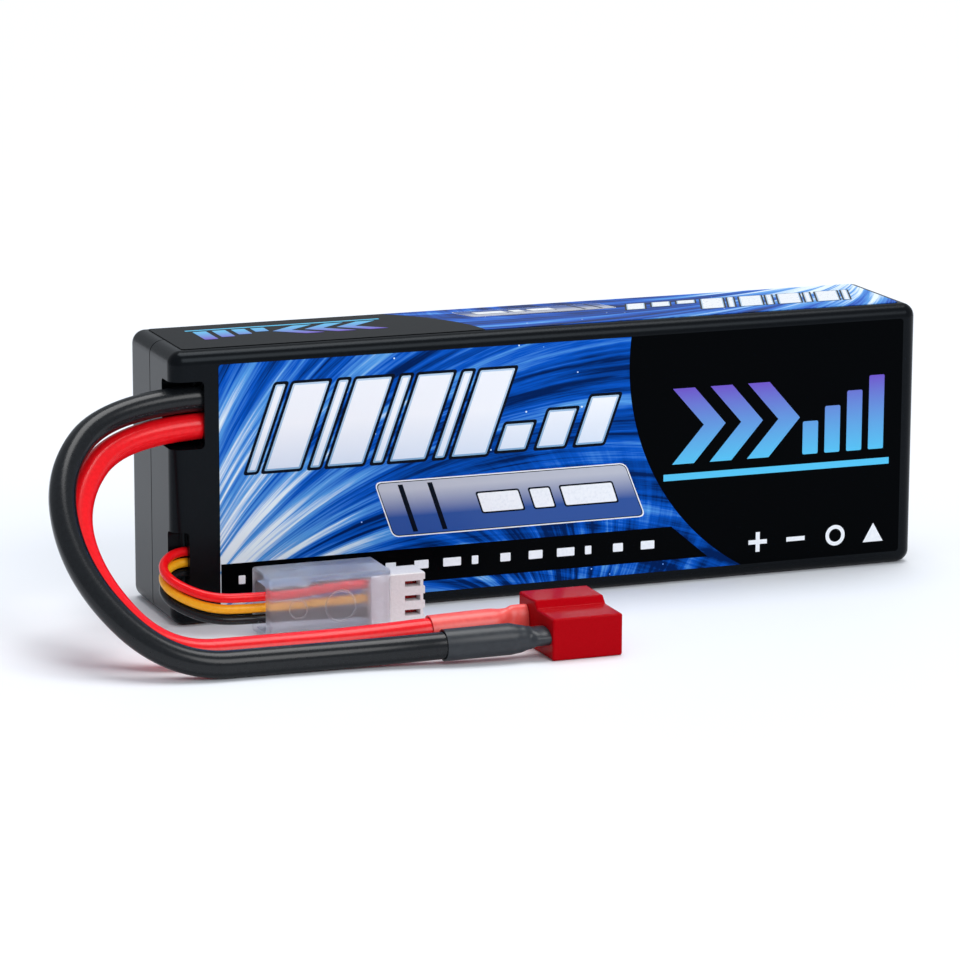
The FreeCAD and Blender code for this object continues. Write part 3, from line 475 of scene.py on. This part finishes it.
copper_bare = grained("copper_bare", (0.62, 0.30, 0.16), (0.78, 0.42, 0.26), (0.28, 0.42),
                      1800, 0.000005, Metallic=1.0)
tin_solder = grained("tin_solder", (0.58, 0.58, 0.60), (0.70, 0.70, 0.72), (0.18, 0.34),
                     900, 0.00001, Metallic=1.0)
foil_pouch = grained("foil_pouch", (0.50, 0.51, 0.53), (0.64, 0.65, 0.67), (0.30, 0.46),
                     500, 0.00004, Metallic=0.8)
black_foam = grained("black_foam", (0.02, 0.02, 0.021), (0.05, 0.05, 0.052), (0.80, 0.95),
                     1400, 0.0001)
amber_film = grained("amber_film", (0.55, 0.26, 0.02), (0.70, 0.36, 0.04), (0.14, 0.24),
                     700, 0.00001)
white_tape = grained("white_tape", (0.70, 0.70, 0.66), (0.82, 0.82, 0.78), (0.55, 0.70),
                     1200, 0.00002)
# The balance terminals are tin-plated: this dark red is a painted reflection of the red lead and painted
# shade inside the plug's windows.
terminal_painted_reflection = grained("terminal_painted_reflection", (0.20, 0.006, 0.008), (0.42, 0.02, 0.02), (0.20, 0.34),
                        1900, 0.000005, Metallic=0.7)
fibre_card = grained("fibre_card", (0.36, 0.31, 0.22), (0.48, 0.42, 0.32), (0.65, 0.80),
                     1100, 0.00003)
board_mask = grained("board_mask", (0.008, 0.13, 0.05), (0.015, 0.19, 0.08), (0.18, 0.30),
                     1000, 0.00001)
print("finishes so far", len([m for m in bpy.data.materials if m.use_nodes]))

# %% [markdown]
# The guard is moulded from milky plastic, so the leads inside show only as soft coloured bands.
# Rough transmission scatters the light at the surface on its way out, and a small opaque share
# gives the pale veil of the plastic itself.

# %% The frosted guard
guard_frost = finish_base("guard_frost", (0.95, 0.96, 1.0), 0.34, Transmission_Weight=0.90,
                          IOR=1.18, Specular_IOR_Level=0.5)
add_grain(guard_frost, 1300, 0.000008, 0.32, 0.40)
print("guard finish", guard_frost.name)

# %% [markdown]
# A table names the finish of the CAD's own pieces, the hidden ones too, so that a cutaway looks
# right. The labels get theirs further on.

# %% Give every CAD node its finish
NODE_FINISH = {
    case_plastic: ["front_shell", "back_shell"],
    foil_pouch: ["cell_front_pouch", "cell_back_pouch"],
    nickel_strip: ["cell_front_negative_tab", "cell_front_positive_tab",
                   "cell_back_positive_tab", "cell_back_negative_tab"],
    white_tape: ["cell_bond_tape"],
    amber_film: ["cell_strap_tape"],
    black_foam: ["front_foam_pad", "back_foam_pad", "end_foam_pad"],
    board_mask: ["tab_board"],
    copper_bare: ["board_traces", "positive_bus", "series_link", "lead_core_ends"],
    tin_solder: ["solder_joints"],
    fibre_card: ["insulating_card"],
    plug_red_nylon: ["plug_housing"],
    gold_plate: ["plug_contact_positive", "plug_contact_negative", "plug_spring_positive",
                 "plug_spring_negative"],
    # painted red reflection and painted shade on the balance terminals
    terminal_painted_reflection: ["balance_terminals"],
    plug_white_nylon: ["balance_plug_housing"],
    guard_frost: ["balance_guard"],
}


def put_on(piece, material):
    """Give a piece one material, in place of any that it has."""
    piece.data.materials.clear()
    piece.data.materials.append(material)


def put_on_node(node, material):
    """Give a CAD node one material on every slot."""
    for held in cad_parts[node].material_slots:
        held.material = material


for material, nodes in NODE_FINISH.items():
    for node in nodes:
        put_on_node(node, material)
for piece, material in ((black_lead, silicone_black), (red_lead, silicone_red),
                        (black_sleeve, sleeve_black_film), (red_sleeve, sleeve_red_film),
                        (solder_lumps, tin_solder),
                        (balance_leads[0], silicone_red), (balance_leads[1], silicone_yellow),
                        (balance_leads[2], silicone_black)):
    put_on(piece, material)
print("CAD nodes finished", sum(len(nodes) for nodes in NODE_FINISH.values()))

# %% [markdown]
# ## The printed label
# The label is one sheet of laminated film. Two thirds of it is a blue picture of light streaks
# that fan out from one corner, and the rest is black, parted by a large arc. A streak is a thin
# slice of angle around the fan's centre, so the picture is a noise on that angle, bent a little
# by the distance. A second fan takes over around its own centre, lower right, and a finer noise
# draws hairlines over both. Both side labels and the top label are the same design, each with its
# own place, so one function makes all three.

# %% Values of the label's picture
ARC_CENTRE = (56.6, 39.8)
ARC_RADIUS = 42.9
FAN_CENTRE = (-72.0, -6.0)
SECOND_FAN = (-2.0, -12.0)
FIRST_STREAKS = (FAN_CENTRE, 17, 0.0050, 1.0)
SECOND_STREAKS = (SECOND_FAN, 7, -0.020, 5.0)
HAIRLINES = (FAN_CENTRE, 75, 0.0050, 9.0)
SECOND_FAN_REACH = 42.0
STREAK_CONTRAST = 2.9
HAIR_CONTRAST = 0.9
BASE_LIGHT = 0.30
GLOW_AT_CENTRE = 1.02
GLOW_LOSS = 0.0185
STAR_CELLS = 0.28
STAR_RADIUS = 0.058
STAR_EDGE = 26.0
LABEL_BLACK = (0.0005, 0.0009, 0.0014, 1)
DEEP_BLUE = (0.0, 0.015, 0.10, 1)
MID_BLUE = (0.002, 0.095, 0.56, 1)
SKY_BLUE = (0.10, 0.36, 0.80, 1)
PALE_BLUE = (0.82, 0.93, 1.0, 1)
print("arc radius", ARC_RADIUS, "mm")


# %% [markdown]
# Nodes can calculate, but one node per sum makes long code. A small class lets the sums read as
# ordinary calls.

# %% Small arithmetic on nodes
class Sums:
    """Arithmetic on a material's sockets, written as ordinary calls."""

    def __init__(self, material):
        self.material = material

    def join(self, operation, a, b=0.0, limit=False):
        """One Math node, fed by sockets or plain numbers."""
        node = new_node(self.material, "ShaderNodeMath")
        node.operation = operation
        node.use_clamp = limit
        for socket, value in zip(node.inputs, (a, b)):
            if isinstance(value, (int, float)):
                socket.default_value = value
            else:
                link(self.material, value, socket)
        return node.outputs[0]

    def distance(self, x, z, centre):
        """How far a place is from a centre."""
        dx = self.join("SUBTRACT", x, centre[0])
        dz = self.join("SUBTRACT", z, centre[1])
        return self.join("SQRT", self.join("ADD", self.join("MULTIPLY", dx, dx),
                                           self.join("MULTIPLY", dz, dz)))

    def angle(self, x, z, centre):
        """The direction of a place from a centre, in radians."""
        return self.join("ARCTAN2", self.join("SUBTRACT", z, centre[1]),
                         self.join("SUBTRACT", x, centre[0]))


print("node arithmetic ready")


# %% [markdown]
# Streaks are noise read along the angle around a centre. Stars come from a cell pattern: a place
# that is very near to its cell's middle point turns bright.

# %% The streaks and the stars
def streaks(sums, x, z, centre, fineness, bend, seed):
    """Streaks that fan out from a centre: noise on the angle, bent and drifting with distance.
    It gives back the noise and the distance."""
    angle = sums.angle(x, z, centre)
    far = sums.distance(x, z, centre)
    joined = new_node(sums.material, "ShaderNodeCombineXYZ", Z=seed)
    bent = sums.join("ADD", angle, sums.join("MULTIPLY", far, bend))
    link(sums.material, sums.join("MULTIPLY", bent, fineness), joined.inputs["X"])
    link(sums.material, sums.join("MULTIPLY", far, 0.010), joined.inputs["Y"])
    noise = new_node(sums.material, "ShaderNodeTexNoise", Scale=1.0, Detail=6.0, Roughness=0.66)
    link(sums.material, joined.outputs["Vector"], noise.inputs["Vector"])
    return noise.outputs["Fac"], far


def sparkles(sums, x, z):
    """Small round stars, one in each cell of a scattered pattern."""
    joined_place = new_node(sums.material, "ShaderNodeCombineXYZ")
    link(sums.material, x, joined_place.inputs["X"])
    link(sums.material, z, joined_place.inputs["Y"])
    cells = new_node(sums.material, "ShaderNodeTexVoronoi", Scale=STAR_CELLS, Randomness=1.0)
    link(sums.material, joined_place.outputs["Vector"], cells.inputs["Vector"])
    nearness = sums.join("SUBTRACT", STAR_RADIUS, cells.outputs["Distance"])
    return sums.join("MULTIPLY", nearness, STAR_EDGE, True)


print("streak functions ready")


# %% [markdown]
# The whole design adds the streaks, the hairlines, the glow near the corner and the stars to one
# brightness, and turns it into blues with a ramp. Everything inside the arc stays black.

# %% The whole label picture
def label_material(name, across, origin, signs, scale):
    """The print on one label. across names the two Object axes that the design lies on, and
    origin, signs and scale carry the design's own millimetres to that face."""
    material = finish_base(name, (0.0, 0.0, 0.0), 0.24, Specular_IOR_Level=0.02)
    sums = Sums(material)
    place = new_node(material, "ShaderNodeTexCoord")
    split = new_node(material, "ShaderNodeSeparateXYZ")
    link(material, place.outputs["Object"], split.inputs["Vector"])
    x, z = [sums.join("ADD", sums.join("MULTIPLY", split.outputs[a], s * 1000 * scale[i]), origin[i])
            for i, (a, s) in enumerate(zip(across, signs))]
    first, far = streaks(sums, x, z, *FIRST_STREAKS)
    second, near = streaks(sums, x, z, *SECOND_STREAKS)
    share = sums.join("MULTIPLY", sums.join("SUBTRACT", SECOND_FAN_REACH, near), 0.05, True)
    rays = sums.join("ADD", first, sums.join("MULTIPLY", share, sums.join("SUBTRACT", second, first)))
    hair = streaks(sums, x, z, *HAIRLINES)[0]
    lines = sums.join("ADD", sums.join("MULTIPLY", sums.join("SUBTRACT", rays, 0.5), STREAK_CONTRAST),
                      sums.join("MULTIPLY", sums.join("SUBTRACT", hair, 0.5), HAIR_CONTRAST))
    glow = sums.join("SUBTRACT", GLOW_AT_CENTRE, sums.join("MULTIPLY", far, GLOW_LOSS), True)
    light = sums.join("ADD", sums.join("ADD", lines, BASE_LIGHT), glow)
    light = sums.join("ADD", light, sparkles(sums, x, z), True)
    ramp = new_node(material, "ShaderNodeValToRGB")
    tones = ramp.color_ramp.elements
    tones[0].position, tones[0].color = 0.08, DEEP_BLUE
    tones[1].position, tones[1].color = 1.0, PALE_BLUE
    for position, colour in ((0.38, MID_BLUE), (0.70, SKY_BLUE)):
        tone = tones.new(position)
        tone.color = colour
    link(material, light, ramp.inputs["Fac"])
    outside = sums.join("GREATER_THAN", sums.distance(x, z, ARC_CENTRE), ARC_RADIUS)
    left = sums.join("LESS_THAN", x, ARC_CENTRE[0])
    shown = sums.join("MULTIPLY", outside, left)
    mix = new_node(material, "ShaderNodeMix")
    mix.data_type = "RGBA"
    mix.inputs["A"].default_value = LABEL_BLACK
    link(material, shown, mix.inputs["Factor"])
    link(material, ramp.outputs["Color"], mix.inputs["B"])
    shader = material.node_tree.nodes["Principled BSDF"]
    link(material, mix.outputs["Result"], shader.inputs["Base Color"])
    return material


TOP_ORIGIN = (1.5, 23.8)
TOP_SCALE_ACROSS = 1.36
front_print = label_material("front_print", ("X", "Z"), (0, 0), (1, 1), (1, 1))
back_print = label_material("back_print", ("X", "Z"), (0, 0), (-1, 1), (1, 1))
top_print = label_material("top_print", ("X", "Y"), TOP_ORIGIN, (-1, -1), (1, TOP_SCALE_ACROSS))
put_on_node("front_label", front_print)
put_on_node("back_label", back_print)
put_on_node("top_label", top_print)
print("labels printed")

# %% [markdown]
# ## Raised marks on the labels
# Thick print stands a few hundredths of a millimetre proud, with clean edges that catch light. It
# could be a bump in the material, but thin solids stay sharp from close by. Each mark starts as a
# plane drawn flat in the design's own millimetres. Its top corners are slid sideways to make it
# lean, and the finished group is extruded, bevelled and stood up against its face.

# %% Tones for the marks
mark_outline = grained("mark_outline", (0.0008, 0.003, 0.009), (0.0012, 0.005, 0.014), (0.20, 0.26),
                       1800, 0.000005, Specular_IOR_Level=0.05)
mark_black = grained("mark_black", (0.0005, 0.0008, 0.0012), (0.0007, 0.0011, 0.0016), (0.20, 0.26),
                     1800, 0.000005, Specular_IOR_Level=0.02)
mark_white = grained("mark_white", (0.86, 0.89, 0.94), (0.93, 0.95, 0.98), (0.24, 0.32),
                     1800, 0.000005, Specular_IOR_Level=0.3)


def faded(name, low_colour, high_colour, low, high, axis="Z"):
    """A colour that changes evenly between two places on an axis, given in millimetres."""
    material = finish_base(name, low_colour, 0.24, Specular_IOR_Level=0.2)
    place = new_node(material, "ShaderNodeTexCoord")
    split = new_node(material, "ShaderNodeSeparateXYZ")
    link(material, place.outputs["Object"], split.inputs["Vector"])
    share = new_node(material, "ShaderNodeMapRange", From_Min=low * MM, From_Max=high * MM)
    link(material, split.outputs[axis], share.inputs["Value"])
    ramp = new_node(material, "ShaderNodeValToRGB")
    ramp.color_ramp.elements[0].color = (*low_colour, 1)
    ramp.color_ramp.elements[1].color = (*high_colour, 1)
    link(material, share.outputs["Result"], ramp.inputs["Fac"])
    link(material, ramp.outputs["Color"], material.node_tree.nodes["Principled BSDF"].inputs["Base Color"])
    return material


CYAN = (0.085, 0.56, 0.88)
VIOLET = (0.15, 0.085, 0.56)
PLATE_BLUE = (0.022, 0.08, 0.32)
PLATE_SILVER = (0.50, 0.52, 0.60)
sign_fade = faded("sign_fade", CYAN, VIOLET, 21, 35)
top_sign_fade = faded("top_sign_fade", VIOLET, CYAN, -2.6, 4.8, "Y")
plate_fade = faded("plate_fade", PLATE_BLUE, PLATE_SILVER, 16.2, 21.0)
plate_fade_top = faded("plate_fade_top", PLATE_SILVER, PLATE_BLUE, 2.9, 5.4, "Y")
bar_fade = faded("bar_fade", (0.70, 0.79, 0.92), (0.93, 0.95, 0.99), 26, 34)
bar_rim = faded("bar_rim", (0.22, 0.42, 0.66), (0.50, 0.66, 0.84), 26, 38)
print("mark tones ready")


# %% [markdown]
# A bar is seven numbers: its lower left corner, its width and height, how far each top corner
# slides along, and how far its corners are cut. A border is the same bar made larger.

# %% Draw flat bars
TOP_LEFT = 2
TOP_RIGHT = 3
CORNER_GROWTH = 0.6


def flat_bar(x, z, width, height, left=0.0, right=None, corner=0.0):
    """A plane from its lower left corner, with its top corners slid along and its corners rounded.
    A new plane numbers its two top corners 2 and 3."""
    bpy.ops.mesh.primitive_plane_add(size=1, location=(x + width / 2, z + height / 2, 0))
    piece = bpy.context.object
    piece.scale = (width, height, 1)
    settle(piece)
    for corner_index, by in ((TOP_LEFT, left), (TOP_RIGHT, left if right is None else right)):
        bpy.ops.object.mode_set(mode="EDIT")
        bpy.context.tool_settings.mesh_select_mode = (True, False, False)
        bpy.ops.mesh.select_all(action="DESELECT")
        mesh = bmesh.from_edit_mesh(piece.data)
        mesh.verts.ensure_lookup_table()
        mesh.verts[corner_index].select = True
        mesh.select_flush(True)
        bmesh.update_edit_mesh(piece.data)
        bpy.ops.transform.translate(value=(by, 0, 0))
        bpy.ops.object.mode_set(mode="OBJECT")
    if corner:
        bpy.ops.object.mode_set(mode="EDIT")
        bpy.ops.mesh.select_all(action="SELECT")
        bpy.ops.mesh.bevel(offset=corner, segments=3, affect="VERTICES")
        bpy.ops.object.mode_set(mode="OBJECT")
    return piece


def widened(bar, by):
    """The same bar, larger by a margin on every side, for a border under it, or smaller."""
    x, z, width, height, left, right, corner = bar
    low_lean, high_lean = left / height, right / height
    start = x - by * math.hypot(1, low_lean) - by * low_lean
    end = x + width + by * math.hypot(1, high_lean) - by * high_lean
    tall = height + 2 * by
    rounded = max(0.0, corner + by * CORNER_GROWTH)
    return start, z - by, end - start, tall, low_lean * tall, high_lean * tall, rounded


def leaning(x, z, width, height, lean, corner=0.25):
    """A bar that leans evenly, as the seven values of a flat bar."""
    return x, z, width, height, lean * height, lean * height, corner


def joined(parts):
    """Join flat parts into one piece and merge the corners that they share."""
    deselect_all()
    for part in parts:
        part.select_set(True)
    bpy.context.view_layer.objects.active = parts[0]
    if len(parts) > 1:
        bpy.ops.object.join()
    bpy.ops.object.mode_set(mode="EDIT")
    bpy.ops.mesh.select_all(action="SELECT")
    bpy.ops.mesh.remove_doubles(threshold=0.001)
    bpy.ops.object.mode_set(mode="OBJECT")
    return bpy.context.object


print("flat bars ready")

# %% [markdown]
# A face is a name, where the design's zero lies in millimetres, a turn, two scales and the
# direction that the face looks in. The top repeats three groups of the design, each turned about
# and with scales of its own.

# %% Stand the marks up on a face
UPRIGHT = math.pi / 2
LABEL_Y = 12.62
LABEL_TOP = 47.52
BEVEL_SHARE = 0.4
FRONT = ("front", (0, -LABEL_Y, 0), (UPRIGHT, 0, 0), (1, 1), (0, -1, 0))
BACK = ("back", (0, LABEL_Y, 0), (UPRIGHT, 0, math.pi), (1, 1), (0, 1, 0))
TOP_GAUGE = ("top", (25.9, 20.4, LABEL_TOP), (0, 0, math.pi), (0.665, 0.61), (0, 0, 1))
TOP_PLATE = ("top", (-2.3, 14.0, LABEL_TOP), (0, 0, math.pi), (0.585, 0.54), (0, 0, 1))
TOP_SIGN = ("top", (-9.8, 16.2, LABEL_TOP), (0, 0, math.pi), (0.804, 0.545), (0, 0, 1))


def stand_up(name, parts, face, proud, height, material, body="pack"):
    """Join flat parts, give them height and a fine bevel, and set them on their face. proud is
    how far their back lies off the face, and below 0 it is sunk in it."""
    label, origin, turn, scale, outward = face
    piece = joined(parts)
    start_piece(label + "_" + name)
    bpy.ops.object.mode_set(mode="EDIT")
    bpy.ops.mesh.select_all(action="SELECT")
    bpy.ops.mesh.extrude_region_move(TRANSFORM_OT_translate={"value": (0, 0, height)})
    bpy.ops.mesh.select_all(action="SELECT")
    bpy.ops.mesh.normals_make_consistent(inside=False)
    bpy.ops.object.mode_set(mode="OBJECT")
    edge = piece.modifiers.new("edge", "BEVEL")
    edge.width = height * BEVEL_SHARE
    edge.segments = 1
    bpy.ops.object.modifier_apply(modifier=edge.name)
    piece.location = (Vector(origin) + Vector(outward) * proud) * MM
    piece.rotation_euler = turn
    piece.scale = (scale[0] * MM, scale[1] * MM, MM)
    settle(piece)
    put_on(piece, material)
    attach(piece, body)


def bars(name, rows, face, proud, height, material, border=0.0):
    """Stand up a group of bars, all made larger or smaller by the same border."""
    parts = [flat_bar(*widened(row, border)) if border else flat_bar(*row) for row in rows]
    stand_up(name, parts, face, proud, height, material)


print("faces ready")

# %% [markdown]
# ## The marks of the design
# Four pairs of large leaning bars and three small ones read as a charge gauge. Below them are a
# silver plate with two dark bars and plain dashes, and a black strip with white dashes. On the
# dark side are three chevrons with rising bars, and four small signs.

# %% The charge gauge
BIG_LEAN = 0.36
NARROW = [leaning(-56.4 + 11.3 * i, 26.1, 1.7, 14.8, BIG_LEAN) for i in range(4)]
WIDE = [leaning(-53.3 + 11.3 * i, 26.1, 6.4, 14.8, BIG_LEAN) for i in range(4)]
SMALL = [leaning(-11.0 + 7.3 * i, 26.5, 5.2, 4.6 + 1.9 * i, BIG_LEAN) for i in range(3)]


def gauge(face, tone):
    """The leaning bars on one face, each with a blue rim on a dark border."""
    rows = NARROW + WIDE + SMALL
    bars("gauge_border", rows, face, -0.01, 0.03, mark_outline, 0.5)
    bars("gauge_rims", rows, face, 0.005, 0.04, bar_rim)
    bars("gauge_bars", rows, face, 0.01, 0.06, tone, -0.32)


gauge(FRONT, bar_fade)
gauge(BACK, bar_fade)
gauge(TOP_GAUGE, mark_white)
print("gauge bars", len(NARROW + WIDE + SMALL))

# %% [markdown]
# The plate is built up in thin layers: a pale rim, a dark line, the plate itself and what is
# printed on it.

# %% The silver plate
PLATE = (-29.9, 13.0, 46.5, 9.3, -3.2, -3.7, 0.9)
PLATE_BARS = [leaning(x, 13.4, 0.9, 8.5, -0.34, 0.0) for x in (-26.4, -21.0)]
PLATE_DASHES = [leaning(x, 15.9, w, 3.4, -0.34) for x, w in ((-13.5, 7.5), (-3.8, 3.6), (2.0, 9.6))]


def plate(face, tone):
    """The plate with its pale rim and dark line, two dark bars and a row of dashes."""
    bars("plate_rim", [PLATE], face, -0.01, 0.03, mark_white, 0.34)
    bars("plate_line", [PLATE], face, 0.01, 0.02, mark_outline, 0.14)
    bars("plate", [PLATE], face, 0.02, 0.03, tone)
    bars("plate_bars", PLATE_BARS, face, 0.04, 0.02, mark_outline)
    bars("plate_dash_border", PLATE_DASHES, face, 0.04, 0.02, mark_outline, 0.3)
    bars("plate_dashes", PLATE_DASHES, face, 0.05, 0.03, mark_white)


plate(FRONT, plate_fade)
plate(BACK, plate_fade)
plate(TOP_PLATE, plate_fade_top)
print("plate dashes", len(PLATE_DASHES))

# %% [markdown]
# The dashes on the strip have four widths that take turns, which keeps the row from looking like
# a ruler.

# %% The strip
STRIP = (-61.1, 4.45, 90.2, 6.0, 0.0, -7.1, 0.0)
DASH_WIDTHS = [1.2 + 0.7 * ((i * 5) % 4) for i in range(15)]
STRIP_DASHES = [(-58.0 + 5.3 * i, 6.75, w, 1.5, 0.0, 0.0, 0.15) for i, w in enumerate(DASH_WIDTHS)]


def strip(face):
    """The black strip and its row of white dashes of uneven length."""
    bars("strip", [STRIP], face, -0.01, 0.03, mark_black)
    bars("strip_dashes", STRIP_DASHES, face, 0.01, 0.03, mark_white)


strip(FRONT)
strip(BACK)
print("strip dashes", len(STRIP_DASHES))


# %% [markdown]
# A chevron is two bars that lean towards each other. They share a side, and joining merges it.

# %% The chevrons and rising bars
def chevron(x, z, reach, half, thick):
    """An arrow head that points right: two bars that lean towards each other."""
    return [flat_bar(x, z - half, thick, half, reach), flat_bar(x + reach, z, thick, half, -reach)]


RISING = [(47.2 + 4.3 * i, 21.6, 3.0, 6.0 + 2.5 * i, 0.0, 0.0, 0.3) for i in range(4)]
UNDERLINE = (20.4, 18.7, 43.9, 1.2, 0.0, 0.0, 0.0)


def sign(face, tone):
    """Three chevrons, four rising bars and a line under them."""
    parts = [part for i in range(3) for part in chevron(22.0 + 7.2 * i, 28.4, 6.0, 6.8, 4.2)]
    parts += [flat_bar(*row) for row in RISING + [UNDERLINE]]
    stand_up("sign", parts, face, -0.01, 0.04, tone)


sign(FRONT, sign_fade)
sign(BACK, sign_fade)
sign(TOP_SIGN, top_sign_fade)
print("rising bars", len(RISING))


# %% [markdown]
# The last row has a plus and a minus from plain bars, and a ring and a triangle from circles.

# %% The small marks
def flat_ring(x, z, outer, wide):
    """A filled circle, inset, with its middle taken out."""
    bpy.ops.mesh.primitive_circle_add(vertices=32, radius=outer, fill_type="NGON", location=(x, z, 0))
    piece = settle(bpy.context.object)
    bpy.ops.object.mode_set(mode="EDIT")
    bpy.ops.mesh.select_all(action="SELECT")
    bpy.ops.mesh.inset(thickness=wide)
    bpy.ops.mesh.delete(type="FACE")
    bpy.ops.object.mode_set(mode="OBJECT")
    return piece


def flat_triangle(x, z, radius):
    """A filled circle of three corners, which is a triangle that points up."""
    bpy.ops.mesh.primitive_circle_add(vertices=3, radius=radius, fill_type="NGON", location=(x, z, 0))
    return settle(bpy.context.object)


def small_marks(face):
    """A plus, a minus, a ring and a triangle in one row."""
    plus = [flat_bar(37.0, 5.9, 1.4, 0.8), flat_bar(38.4, 5.9, 0.8, 0.8), flat_bar(39.2, 5.9, 1.4, 0.8),
            flat_bar(38.4, 4.5, 0.8, 1.4), flat_bar(38.4, 6.7, 0.8, 1.4)]
    minus = flat_bar(44.4, 5.9, 3.6, 0.8)
    others = [flat_ring(54.0, 6.3, 1.9, 0.7), flat_triangle(61.5, 5.7, 2.3)]
    stand_up("small_marks", plus + [minus] + others, face, -0.01, 0.03, mark_white)


small_marks(FRONT)
small_marks(BACK)

# %% [markdown]
# ## Moulded rings on the guard
# A mould leaves shallow raised marks in a clear part, and they show only as thin bright outlines.
# Two plain rings stand on the guard's front, in the guard's own plastic, and they slide with it.

# %% Raise the rings on the guard
RING_HEIGHT = 0.15
guard_low, guard_high = [[v / MM for v in corner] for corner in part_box("balance_guard")]
middle_z = (guard_low[2] + guard_high[2]) / 2
GUARD_FRONT = ("guard", (0, guard_low[1], 0), (UPRIGHT, 0, 0), (1, 1), (0, -1, 0))
guard_rings = [flat_ring(guard_low[0] + 5.0, middle_z, 1.7, 0.3),
               flat_ring(guard_low[0] + 12.5, middle_z, 2.8, 0.35)]
stand_up("rings", guard_rings, GUARD_FRONT, -0.02, RING_HEIGHT, guard_frost, "guard")
print("rings at height", round(middle_z, 2), "mm")

# %% [markdown]
# ## Floor and light
# The pack stands on a plain, very pale surface. One large soft light high above, a little behind,
# gives a faint shadow in front and long bright lines on the rounded edges, and a weaker one from
# the front fills the labelled face. A sun with a wide angle lights the whole floor evenly, where
# an area light would leave the edges grey. A bluish world cools the shadows.

# %% Floor
FLOOR_DROP = 0.02 * MM
deselect_all()
bpy.ops.mesh.primitive_plane_add(size=6, location=(0, 1.0, -FLOOR_DROP))
floor = start_piece("floor")
settle(floor)
floor_paper = finish_base("floor_paper", (0.91, 0.93, 0.97), 0.6)
put_on(floor, floor_paper)
print("floor laid")


# %% Lights
def soft_sun(name, towards, power, wide):
    """A sun that shines towards a direction from a patch of sky that many degrees wide."""
    data = bpy.data.lights.new(name, "SUN")
    data.energy = power
    data.angle = math.radians(wide)
    lamp = bpy.data.objects.new(name, data)
    bpy.context.scene.collection.objects.link(lamp)
    lamp.rotation_mode = "QUATERNION"
    lamp.rotation_quaternion = Vector(towards).to_track_quat("-Z", "Y")


soft_sun("high_sun", (-0.14, -0.12, -0.98), 1.75, 36)
soft_sun("front_fill", (-0.22, 0.78, -0.58), 1.0, 30)
world = bpy.data.worlds.new("studio")
world.use_nodes = True
world.node_tree.nodes["Background"].inputs["Color"].default_value = (0.87, 0.93, 1.0, 1)
world.node_tree.nodes["Background"].inputs["Strength"].default_value = 0.50
bpy.context.scene.world = world
print("lights ready")
